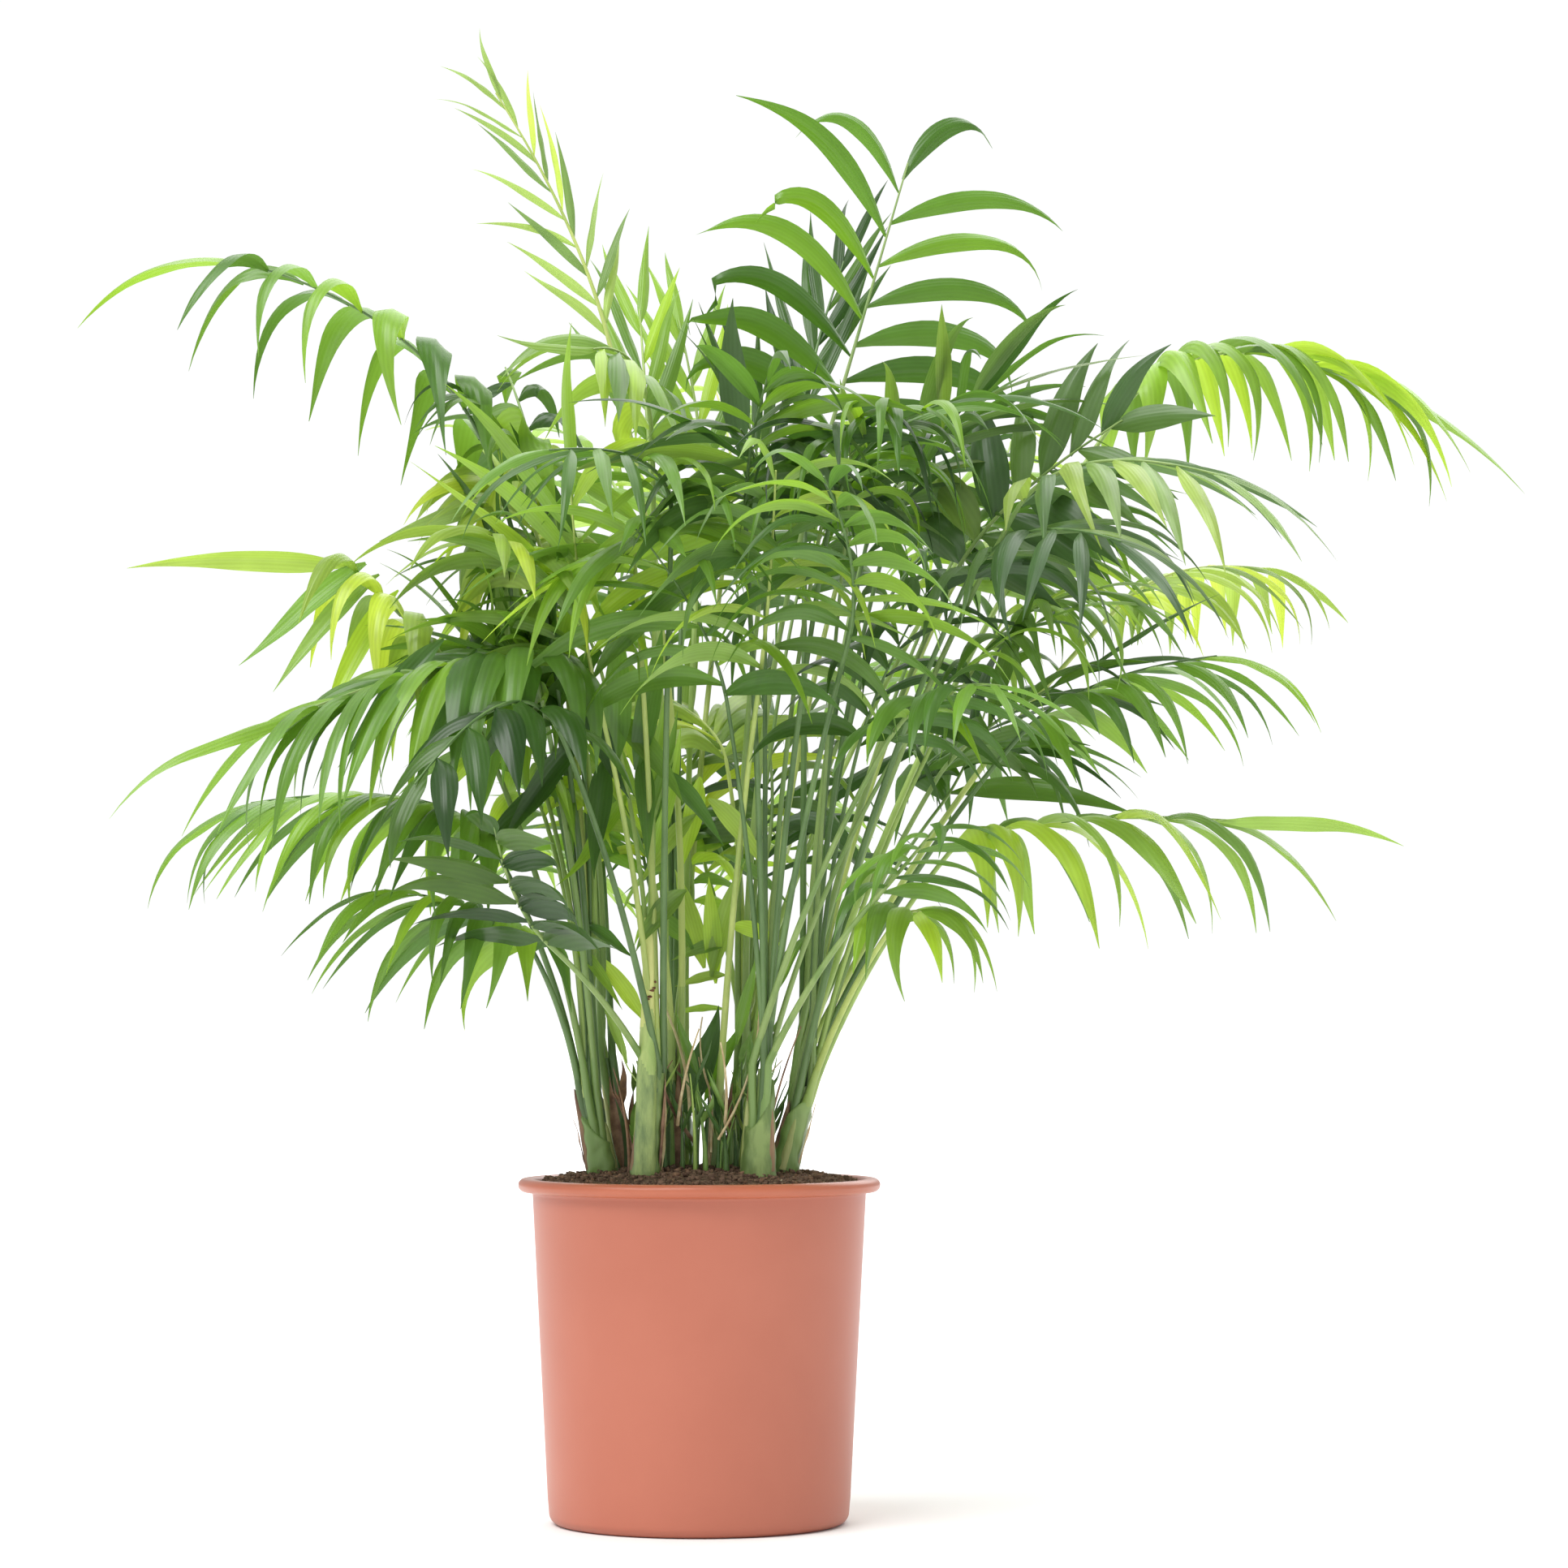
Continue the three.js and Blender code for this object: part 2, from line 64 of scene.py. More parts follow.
def chance(seed):  # a repeatable number from 0 to 1
    wave = math.sin(seed * 12.9898) * 43758.5453
    return wave - math.floor(wave)


def smooth(t):
    t = np.clip(t, 0.0, 1.0)
    return t * t * (3 - 2 * t)


def anglesOf(count):  # of so many equal steps round a circle
    return np.arange(count) * 2 * math.pi / count


def curveAt(curve, t):  # a quadratic Bezier curve of three points
    a, b, c = curve
    t = np.asarray(t, float)[..., None]
    return a * (1 - t) ** 2 + b * 2 * t * (1 - t) + c * t * t


def curveAlong(curve, t):
    a, b, c = curve
    t = np.asarray(t, float)[..., None]
    return unit((b - a) * (1 - t) + (c - b) * t)


# A heap gathers the points and faces of many small things before they become one mesh.
def newHeap():
    return {"points": [], "faces": [], "uvs": [], "finish": [], "count": 0}


def heapPart(heap, points, faces, uvs, finish):
    heap["points"].append(points)
    heap["faces"].append(faces + heap["count"])
    heap["uvs"].append(uvs)
    heap["finish"].append(finish)
    heap["count"] += len(points)


def heapGrid(heap, grid, finish=0, closed=False, breadth=1.0):
    # grid is rows x columns x 3; faces look along (next row) x (next column)
    # finish tells which of the piece's materials a face has: one number for all of them, one for
    # each row of faces or one for each face; breadth narrows UV u
    rows, columns = grid.shape[:2]
    across = columns if closed else columns - 1
    r, c = np.meshgrid(np.arange(rows - 1), np.arange(across), indexing="ij")
    n = (c + 1) % columns
    quads = np.stack([r * columns + c, (r + 1) * columns + c, (r + 1) * columns + n, r * columns + n], -1)
    narrow = np.broadcast_to(breadth, rows)
    corners = [(r, c), (r + 1, c), (r + 1, c + 1), (r, c + 1)]
    uv = [np.stack([0.5 + (j / across - 0.5) * narrow[i], i / (rows - 1)], -1) for i, j in corners]
    uvs = np.stack(uv, 2).reshape(-1, 2)
    finish = np.asarray(finish)
    if finish.ndim < 2:
        finish = np.repeat(np.broadcast_to(finish, rows - 1)[:, None], across, 1)
    heapPart(heap, grid.reshape(-1, 3), quads.reshape(-1, 4), uvs, finish.ravel())


def heapFan(heap, ring, finish=0, flip=False):
    # closes a ring of points with quads that meet in its middle
    count = len(ring)
    i = np.arange(0, count, 2)
    quads = np.stack([i, (i + 1) % count, (i + 2) % count, np.full(len(i), count)], -1)
    if flip:
        quads = quads[:, ::-1]
    points = np.vstack([ring, ring.mean(0)[None]])
    heapPart(heap, points, quads, np.full((quads.size, 2), 0.5), np.full(len(quads), finish))


def pieceFrom(heap, name, materials, nodes=()):
    points = np.vstack(heap["points"]) * mm
    faces = np.vstack(heap["faces"])
    mesh = bpy.data.meshes.new(name)
    mesh.from_pydata(points.tolist(), [], faces.tolist())
    mesh.uv_layers.new(name="UVMap").uv.foreach_set("vector", np.vstack(heap["uvs"]).ravel())
    for material in materials:
        mesh.materials.append(material)
    mesh.polygons.foreach_set("material_index", np.concatenate(heap["finish"]).astype(np.int32))
    mesh.polygons.foreach_set("use_smooth", np.ones(len(faces), dtype=bool))
    mesh.update()
    piece = bpy.data.objects.new(name, mesh)
    bpy.context.scene.collection.objects.link(piece)
    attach(piece, "root")
    if nodes:
        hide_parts(*nodes)
    print(name, len(faces), "faces")


def tubeGrid(path, radii, sides, flat=1.0, flute=0.0):
    # rings round a path; flat squeezes each ring along its second direction, flute grooves it
    grooves = 5
    path = np.asarray(path, float)
    radii = np.broadcast_to(np.asarray(radii, float), (len(path),))
    along = unit(np.gradient(path, axis=0))
    side = unit(np.cross(along[0], [0.3, 0.9, 0.1]))  # any start that isn't along the path
    turn = anglesOf(sides)
    rings = []
    for k, point in enumerate(path):
        side = unit(side - along[k] * np.dot(side, along[k]))
        other = np.cross(along[k], side)
        r = radii[k] * (1 + flute * np.cos(grooves * turn + 0.7 * math.sin(k * 0.45)))[:, None]
        rings.append(point + r * (np.cos(turn)[:, None] * side + flat * np.sin(turn)[:, None] * other))
    return np.array(rings)


def heapTube(heap, path, radii, sides, finish=0):
    grid = tubeGrid(path, radii, sides)
    finish = np.broadcast_to(finish, len(path) - 1)
    heapGrid(heap, grid, finish, closed=True)
    heapFan(heap, grid[0], finish[0])
    heapFan(heap, grid[-1], finish[-1], flip=True)


def heapCurve(heap, curve, radii, sides, finish):  # a tube along a curve of three points
    heapTube(heap, curveAt(curve, np.linspace(0, 1, len(radii))), radii, sides, finish)


def newGroup(name, inputs, outputs):
    # inputs holds each socket's value, with four numbers for a colour; outputs holds each kind
    group = bpy.data.node_groups.new(name, "ShaderNodeTree")
    for label, value in inputs.items():
        kind = "NodeSocketColor" if isinstance(value, tuple) else "NodeSocketFloat"
        made = group.interface.new_socket(name=label, in_out="INPUT", socket_type=kind)
        made.default_value = value
    for label, kind in outputs.items():
        group.interface.new_socket(name=label, in_out="OUTPUT", socket_type=kind)
    start = nodeIn(group, "NodeGroupInput", (-900, 0))
    end = nodeIn(group, "NodeGroupOutput", (700, 0))
    return group, start, end


def nodeIn(tree, kind, place, values=(), **settings):
    # settings are the node's own properties, values what its unlinked inputs hold
    node = tree.nodes.new(kind)
    node.location = place
    for key, value in settings.items():
        setattr(node, key, value)
    for key, value in dict(values).items():
        node.inputs[key].default_value = value
    return node


def wire(tree, runs):  # each run: a node and its output, then a node and its input
    for start, output, end, into in runs:
        tree.links.new(start.outputs[output], end.inputs[into])


def buildVeins():
    # parallel veins that run along a leaflet: UV u lies across it, v along it
    group, start, end = newGroup(
        "leafletVeins", {"Colour": (0.1, 0.3, 0.05, 1), "Depth": 0.2, "Veins": 7.0},
        {"Colour": "NodeSocketColor", "Height": "NodeSocketFloat"})
    across = nodeIn(group, "ShaderNodeUVMap", (-900, -200), uv_map="UVMap")
    parts = nodeIn(group, "ShaderNodeSeparateXYZ", (-720, -200))
    count = nodeIn(group, "ShaderNodeMath", (-540, -200), operation="MULTIPLY")
    wave = nodeIn(group, "ShaderNodeMath", (-360, -200), {1: 0.5}, operation="PINGPONG")
    place = nodeIn(group, "ShaderNodeTexCoord", (-900, -450))
    patches = nodeIn(group, "ShaderNodeTexNoise", (-540, -450), {"Scale": 38.0, "Detail": 3.0})
    ridge = nodeIn(group, "ShaderNodeMapRange", (-180, -200), {
        "From Max": 0.5, "To Min": 1.0, "To Max": 0.0})
    depth = nodeIn(group, "ShaderNodeMath", (0, -200), operation="MULTIPLY")
    patch = nodeIn(group, "ShaderNodeMapRange", (-180, -450), {
        "From Min": 0.3, "From Max": 0.7, "To Min": 0.82, "To Max": 1.16})
    shade = nodeIn(group, "ShaderNodeMath", (180, -300), operation="SUBTRACT")
    colour = nodeIn(group, "ShaderNodeVectorMath", (420, 0), operation="SCALE")
    wire(group, [
        (across, 0, parts, 0), (parts, "X", count, 0), (start, "Veins", count, 1),
        (count, 0, wave, 0), (wave, 0, ridge, "Value"), (place, "Object", patches, "Vector"),
        (patches, "Fac", patch, "Value"), (ridge, 0, depth, 0), (start, "Depth", depth, 1),
        (patch, 0, shade, 0), (depth, 0, shade, 1), (start, "Colour", colour, 0),
        (shade, 0, colour, "Scale"), (colour, 0, end, "Colour"), (wave, 0, end, "Height"),
    ])
    return group


def buildMottle():
    # soft patches of a second colour, with a mask for the height
    group, start, end = newGroup(
        "mottle", {
            "Colour": (0.5, 0.5, 0.5, 1), "Second": (0.4, 0.4, 0.4, 1), "Scale": 40.0,
            "Stretch": 1.0, "Low": 0.4, "High": 0.6,
        }, {"Colour": "NodeSocketColor", "Mask": "NodeSocketFloat"})
    place = nodeIn(group, "ShaderNodeTexCoord", (-900, -300))
    stretch = nodeIn(group, "ShaderNodeCombineXYZ", (-720, -150), {"X": 1.0, "Y": 1.0})
    scaled = nodeIn(group, "ShaderNodeVectorMath", (-540, -300), operation="MULTIPLY")
    patches = nodeIn(group, "ShaderNodeTexNoise", (-360, -300), {"Detail": 5.0, "Roughness": 0.6})
    mask = nodeIn(group, "ShaderNodeMapRange", (-100, -200))
    blend = nodeIn(group, "ShaderNodeMix", (200, 0), data_type="RGBA")
    wire(group, [
        (start, "Stretch", stretch, "Z"), (place, "Object", scaled, 0), (stretch, 0, scaled, 1),
        (scaled, 0, patches, "Vector"), (start, "Scale", patches, "Scale"),
        (patches, "Fac", mask, "Value"), (start, "Low", mask, "From Min"),
        (start, "High", mask, "From Max"), (mask, 0, blend, "Factor"),
        (start, "Colour", blend, "A"), (start, "Second", blend, "B"),
        (blend, "Result", end, "Colour"), (mask, 0, end, "Mask"),
    ])
    return group


veins = buildVeins()
mottle = buildMottle()


def newMaterial(name, roughness, specular):
    material = bpy.data.materials.new(name)
    material.use_nodes = True
    tree = material.node_tree
    tree.nodes.clear()
    out = nodeIn(tree, "ShaderNodeOutputMaterial", (900, 0))
    skin = nodeIn(tree, "ShaderNodeBsdfPrincipled", (300, 0), {
        "Roughness": roughness, "Specular IOR Level": specular})
    wire(tree, [(skin, 0, out, "Surface")])
    return material, tree, skin, out


def linear(colour):  # from 0 to 255 as shown on a screen
    shares = [c / 255 for c in colour]
    return tuple(c / 12.92 if c <= 0.04045 else ((c + 0.055) / 1.055) ** 2.4 for c in shares) + (1.0,)


def mottledMaterial(name, colour, second, scale, stretch=1.0, roughness=0.5, bump=0.0,
                    specular=0.5, low=0.4, high=0.6):
    material, tree, skin, _ = newMaterial(name, roughness, specular)
    patches = nodeIn(tree, "ShaderNodeGroup", (0, 0), {
        "Colour": linear(colour), "Second": linear(second), "Scale": scale, "Stretch": stretch,
        "Low": low, "High": high}, node_tree=mottle)
    wire(tree, [(patches, "Colour", skin, "Base Color")])
    if bump:
        relief = nodeIn(tree, "ShaderNodeBump", (100, -300), {"Strength": bump, "Distance": 0.001})
        wire(tree, [(patches, "Mask", relief, "Height"), (relief, 0, skin, "Normal")])
    return material


# A finish is a row: its name, two colours, how fine their patches are, the patches' stretch,
# roughness, bump, specular and the values of the noise between which the colours blend.
def finishesOf(rows):
    return [mottledMaterial(*row) for row in rows]


# The greens of the leaflets, each as seen from above, from below and with light behind it.
leafGreens = {
    "pale": [(160, 188, 96), (168, 194, 112), (180, 212, 100)],
    "lime": [(156, 182, 70), (166, 192, 92), (180, 212, 72)],
    "bright": [(128, 166, 58), (146, 180, 84), (170, 212, 62)],
    "light": [(128, 162, 72), (148, 178, 96), (172, 214, 70)],
    "mid": [(92, 130, 52), (112, 148, 72), (142, 192, 50)],
    "midDark": [(66, 97, 42), (86, 118, 60), (106, 154, 42)],
    "darkBright": [(74, 114, 38), (94, 134, 58), (128, 182, 38)],
    # a dark green made greyer than the leaf's own green: that grey is partly a painted sheen
    "darkWithPaintedSheen": [(84, 108, 68), (100, 124, 80), (112, 152, 56)],
    # a light green made greyer and paler than the leaf's own green: that grey is a painted sheen
    "lightWithPaintedSheen": [(124, 148, 92), (136, 160, 106), (156, 196, 84)],
    "dark": [(46, 74, 33), (68, 97, 48), (84, 130, 34)],
}
leafFinish = {
    "roughness": 0.36, "specular": 0.5, "veins": 7.0, "veinDepth": 0.2, "bump": 0.3,
    "bumpDepth": 0.0006, "thin": 0.34,  # thin: the share of the light that goes through
}


def leafMaterial(name, greens, shade):
    above, below, behind = [linear([c * part for c, part in zip(green, shade)]) for green in greens]
    finish = leafFinish
    material, tree, skin, out = newMaterial(name, finish["roughness"], finish["specular"])
    stripes = nodeIn(tree, "ShaderNodeGroup", (-300, 0), {
        "Depth": finish["veinDepth"], "Veins": finish["veins"]}, node_tree=veins)
    facing = nodeIn(tree, "ShaderNodeNewGeometry", (-700, 200))
    sides = nodeIn(tree, "ShaderNodeMix", (-500, 0), {"A": above, "B": below}, data_type="RGBA")
    relief = nodeIn(tree, "ShaderNodeBump", (0, -300), {
        "Strength": finish["bump"], "Distance": finish["bumpDepth"]})
    glow = nodeIn(tree, "ShaderNodeBsdfTranslucent", (300, -400), {"Color": behind})
    both = nodeIn(tree, "ShaderNodeMixShader", (600, 0), {0: finish["thin"]})
    wire(tree, [
        (facing, "Backfacing", sides, "Factor"), (sides, "Result", stripes, "Colour"),
        (stripes, "Colour", skin, "Base Color"), (stripes, "Height", relief, "Height"),
        (relief, 0, skin, "Normal"), (skin, 0, both, 1), (glow, 0, both, 2),
        (both, 0, out, "Surface"),
    ])
    return material


pot = {
    "height": 180, "rimRadius": 95, "neckRadius": 87.5, "footRadius": 78.5, "footRound": 6,
    "wall": 2.4, "floor": 3.5, "rimDrop": 7, "neckStep": 0.8,  # the ledge under the rolled rim
    "sides": 144, "baseRings": (0.01, 40, 60), "wallRows": 22, "insideRows": (170, 120, 60),
    "finishes": [
        ("potPlastic", (180, 106, 85), (175, 101, 80), 14, 1, 0.40, 0, 0.4, 0.3, 0.7),
        ("potRimPlastic", (181, 101, 74), (172, 94, 68), 20, 1, 0.36, 0, 0.45, 0.3, 0.7),
    ],
}


def wallRadius(z):
    return mix(pot["footRadius"], pot["neckRadius"], z / (pot["height"] - pot["rimDrop"])) - pot["wall"]


def arcOf(centre, radius, start, end, steps):
    angles = np.radians(np.linspace(start, end, steps))
    return np.stack([centre[0] + radius * np.cos(angles), centre[1] + radius * np.sin(angles)], -1)


def makePot():
    p = pot
    band = p["height"] - p["rimDrop"]
    footCentre = (p["footRadius"] - p["footRound"], p["footRound"])
    lip = p["rimDrop"] / 2
    rimCentre = (p["rimRadius"] - lip, p["height"] - lip)
    inside = wallRadius(p["height"]) + 0.5
    wallHeights = np.linspace(p["footRound"] + 8, band - 2, p["wallRows"])
    profile = np.vstack([
        [[r, 0] for r in p["baseRings"]],
        arcOf(footCentre, p["footRound"], -90, 0, 9),
        [[wallRadius(z) + p["wall"], z] for z in wallHeights],
        [[p["neckRadius"], band - 0.4], [p["neckRadius"] + p["neckStep"], band + 0.1]],
        [[rimCentre[0] - 2, band]],
        arcOf(rimCentre, lip, -90, 90, 13),
        [[inside + 2.2, p["height"] - 0.1], [inside + 0.6, p["height"] - 0.6], [inside, p["height"] - 2]],
        [[wallRadius(z), z] for z in (*p["insideRows"], p["floor"] + 4)],
        [[wallRadius(p["floor"]) - 4, p["floor"]], [0.01, p["floor"]]],
    ])
    turn = anglesOf(p["sides"])
    grid = np.stack([
        profile[:, None, 0] * np.cos(turn), profile[:, None, 0] * np.sin(turn),
        np.repeat(profile[:, None, 1], p["sides"], 1)], -1)
    heap = newHeap()
    rim = profile[:-1, 1] > band - 1
    heapGrid(heap, grid[:, ::-1], rim.astype(int), closed=True)
    pieceFrom(heap, "potShell", finishesOf(p["finishes"]), ["pot"])


makePot()

soil = {
    "top": 185, "edgeDrop": 8, "rimFill": 6, "skirt": 4.3, "rings": 60, "spokes": 180,
    "crumbs": 3600, "seed": 5,
    "unevenness": [(0.11, 3.0, 1.3), (0.35, 9.0, 0.9), (0.9, 1.0, 0.5)],  # fineness, seed, height
    "least": 0.45,  # about a small crumb's half width
    "odd": (0.12, 0.03),  # two chances: either makes a crumb bark, both together make it grit
    "finishes": [
        ("pottingSoil", (112, 90, 74), (84, 66, 53), 260, 1, 0.95, 0.8, 0.2),
        ("soilCrumbs", (126, 102, 84), (88, 69, 56), 300, 1, 0.95, 0, 0.2),
        ("soilBark", (146, 116, 92), (112, 84, 65), 300, 1, 0.9, 0, 0.2),
        ("soilGrit", (188, 172, 150), (160, 142, 120), 300, 1, 0.9, 0, 0.2),
    ],
}


def soilHeight(x, y):
    edge = pot["height"] - soil["edgeDrop"]
    share = max(0.0, math.hypot(x, y) / wallRadius(edge))
    base = mix(soil["top"] + 1, edge + soil["rimFill"], share ** 2.4)
    rough = 0.0
    for fineness, seed, height in soil["unevenness"]:
        rough += noise.noise(Vector((x * fineness, y * fineness, seed))) * height
    return base + rough - 0.6


def makeSoil():
    heap = newHeap()
    edge = wallRadius(pot["height"] - soil["edgeDrop"]) - 0.2
    radii = np.linspace(0.3, edge, soil["rings"])
    turn = anglesOf(soil["spokes"])
    grid = np.array([[[r * math.cos(a), r * math.sin(a), 0] for a in turn] for r in radii])
    for row in grid:
        for point in row:
            point[2] = soilHeight(point[0], point[1])
    low = pot["floor"] + soil["skirt"]
    shrink = (wallRadius(low) - 0.6) / edge
    skirt = grid[-1] * [shrink, shrink, 0] + upward * low
    base = skirt * [0.94, 0.94, 0] + upward * (pot["floor"] + clearance)
    middle = base * [0.01, 0.01, 1]
    heapGrid(heap, np.vstack([grid, skirt[None], base[None], middle[None]]), closed=True)
    rng = np.random.default_rng(soil["seed"])
    corners = np.array([[x, y, z] for z in (-1, 1) for y in (-1, 1) for x in (-1, 1)], float)
    cube = np.array([[0, 2, 3, 1], [4, 5, 7, 6], [0, 1, 5, 4], [2, 6, 7, 3], [0, 4, 6, 2], [1, 3, 7, 5]])
    bark, grit = soil["odd"]
    for _ in range(soil["crumbs"]):  # each is a cube with its corners pushed out of true
        r = edge * 0.985 * math.sqrt(rng.random())
        a = rng.random() * 2 * math.pi
        x, y = r * math.cos(a), r * math.sin(a)
        size = soil["least"] + rng.random() ** 3
        lump = corners * size * rng.uniform(0.55, 1.15, 3)
        lump += rng.uniform(-0.25, 0.25, lump.shape) * size
        spin = rng.random() * 2 * math.pi
        c, s = math.cos(spin), math.sin(spin)
        lump = lump @ np.array([[c, -s, 0], [s, c, 0.3], [0, -0.3, 1]])
        lump += [x, y, soilHeight(x, y) + size * 0.25]
        finish = 1 + int(rng.random() < bark) + int(rng.random() < grit)
        heapPart(heap, lump, cube, np.full((cube.size, 2), 0.5), np.full(len(cube), finish))
    pieceFrom(heap, "soilMound", finishesOf(soil["finishes"]), ["soil"])


makeSoil()

# sunk, coreTop: shares of the height where a cane's tube starts, below the soil, and where it ends
caneShape = {
    "rows": 26, "sunk": -0.12, "coreTop": 0.96, "flare": 1.06, "flareHeight": 12,
    "lowRing": 0.24, "lowWide": 0.34,  # shares of the cane's radius at its foot
    "rings": 64, "sides": 40, "sheathWide": 0.98, "sheathFlute": 0.045, "stubs": 2,
    "slant": 0.24, "crisp": 20, "core": 0.3,  # how the outer sheath ends, and what it closes down to
    "finishes": [
        ("caneGreen", (112, 142, 74), (136, 162, 94), 70, 0.10, 0.42, 0.2),
        ("caneDeep", (72, 100, 52), (98, 126, 72), 70, 0.10, 0.42, 0.2),
        ("canePale", (170, 190, 108), (138, 164, 84), 70, 0.10, 0.45, 0.2),
        ("caneGreyGreen", (134, 156, 90), (98, 122, 64), 110, 0.35, 0.5, 0.3),
        ("caneDrySheath", (150, 122, 92), (108, 78, 62), 130, 0.15, 0.7, 0.4),
        ("caneStraw", (186, 186, 128), (150, 162, 96), 90, 0.12, 0.55, 0.25),
    ],
}


def caneRow(foot, top, height, radii, sheath, mouth=0.55):
    return {"foot": foot, "top": top, "height": height, "radii": radii, "sheath": sheath, "mouth": mouth}


# Foot and top as [x, y], height of the top, radius at the foot and at the top, finish of the
# outer sheath and the share of the height where that sheath ends.
canes = {
    "left": caneRow([-51, -5], [-58, -7], 226, [8, 6.6], 0),
    "left_back": caneRow([-40, 16], [-50, 15], 245, [6, 5.4], 1),
    "front": caneRow([-27, -34], [-23, -33], 238, [8, 6.4], 3, 0.78),
    "middle": caneRow([-14, 4], [-14, 7], 250, [6, 5.6], 1),
    "short": caneRow([8, -10], [11, -12], 228, [5, 4.8], 0),
    "front_right": caneRow([31, -38], [33, -40], 240, [9, 6.6], 3, 0.62),
    "right": caneRow([44, -10], [56, -12], 230, [8, 6.8], 0),
    "back": caneRow([-10, 42], [-12, 48], 255, [6.5, 6.2], 1),
    "back_right": caneRow([20, 38], [25, 44], 255, [6.8, 6.6], 2),
    "far_right": caneRow([46, 24], [56, 31], 250, [6, 5.8], 0),
}
# knee: as for the fronds below; sheath and green: how far up each of those finishes reaches;
# profile: shares of the length, and the radius at each; scarRow: the row where the scar starts.
cutStalk = {
    "cane": "front", "knee": [-40, 5, 314], "sheath": 0.42, "green": 0.6,
    "profile": [[0, 0.2, 0.42, 0.5, 0.7, 1], [6.3, 5.6, 5.2, 4.4, 3.3, 2.9]],
    "rows": 72, "sides": 28, "flat": 0.86, "flute": 0.02, "scars": 5, "scarRow": 50, "scarStep": 1.3,
    "footShift": [-0.5, -4.5, 0], "topShift": [-6.5, -7.5, 0], "bend": [0, -1.5, 0],
    "finishes": [
        ("cutStalkStraw", (236, 230, 160), (208, 214, 130), 50, 0.2),
        ("cutStalkScar", (128, 84, 56), (86, 54, 40), 200, 1, 0.8),
        ("cutStalkSheath", (160, 180, 108), (106, 130, 78), 100, 0.3, 0.5, 0.4),
        ("cutStalkGreen", (190, 204, 128), (150, 176, 98), 90, 0.25, 0.5, 0.2),
    ],
}

# The habits and the rule of the fronds are the solids' own, carried to finer leaflets.
# arch: how far the rib runs on before it turns over; wide: leaflet width; spread: angle from the
# rib; lift: angle out of the frond's plane; hold: how much of a leaflet runs straight on before
# it hangs; droop: how strongly the rest of it hangs; end: the same for the last leaflet.
habitNames = ("arch", "wide", "spread", "lift", "hold", "droop", "end")
habits = {
    "young": (0.45, 4.6, 24, 0, 0.42, 0.1, 0),
    "tall": (0.35, 16.5, 54, 0, 0.58, 1.0, 1.4),
    "comb": (0.5, 17, 50, 30, 0.42, 3.2, 1.0),
    "sprung": (0.2, 18, 52, 22, 0.42, 2.8, 0.1),
    "plume": (0.4, 13.5, 52, 5, 0.45, 1.4, 1),
    "level": (0.8, 16, 52, 6, 0.42, 1.3, 0),
    "fine": (0.35, 13, 50, 10, 0.42, 2.0, 1.2),
    "broad": (0.35, 20, 59, 5, 0.45, 0.6, 0.6),
    "drape": (0.5, 20, 60, 10, 0.4, 2.4, 2),
    "spike": (0.3, 9.5, 22, 0, 0.42, 0, 0),
    "spray": (0.3, 11, 44, 15, 0.5, 0.8, 0.5),
    "wisp": (0.5, 7.5, 46, 12, 0.5, 2.4, 1.5),
}


def frond(name, cane, habit, knee, tip, pairs, leaf, roll, green):
    return {"name": name, "cane": cane, "knee": knee, "tip": tip, "pairs": pairs, "leaf": leaf,
            "roll": roll, "green": green, "loose": 1.0, **dict(zip(habitNames, habits[habit]))}


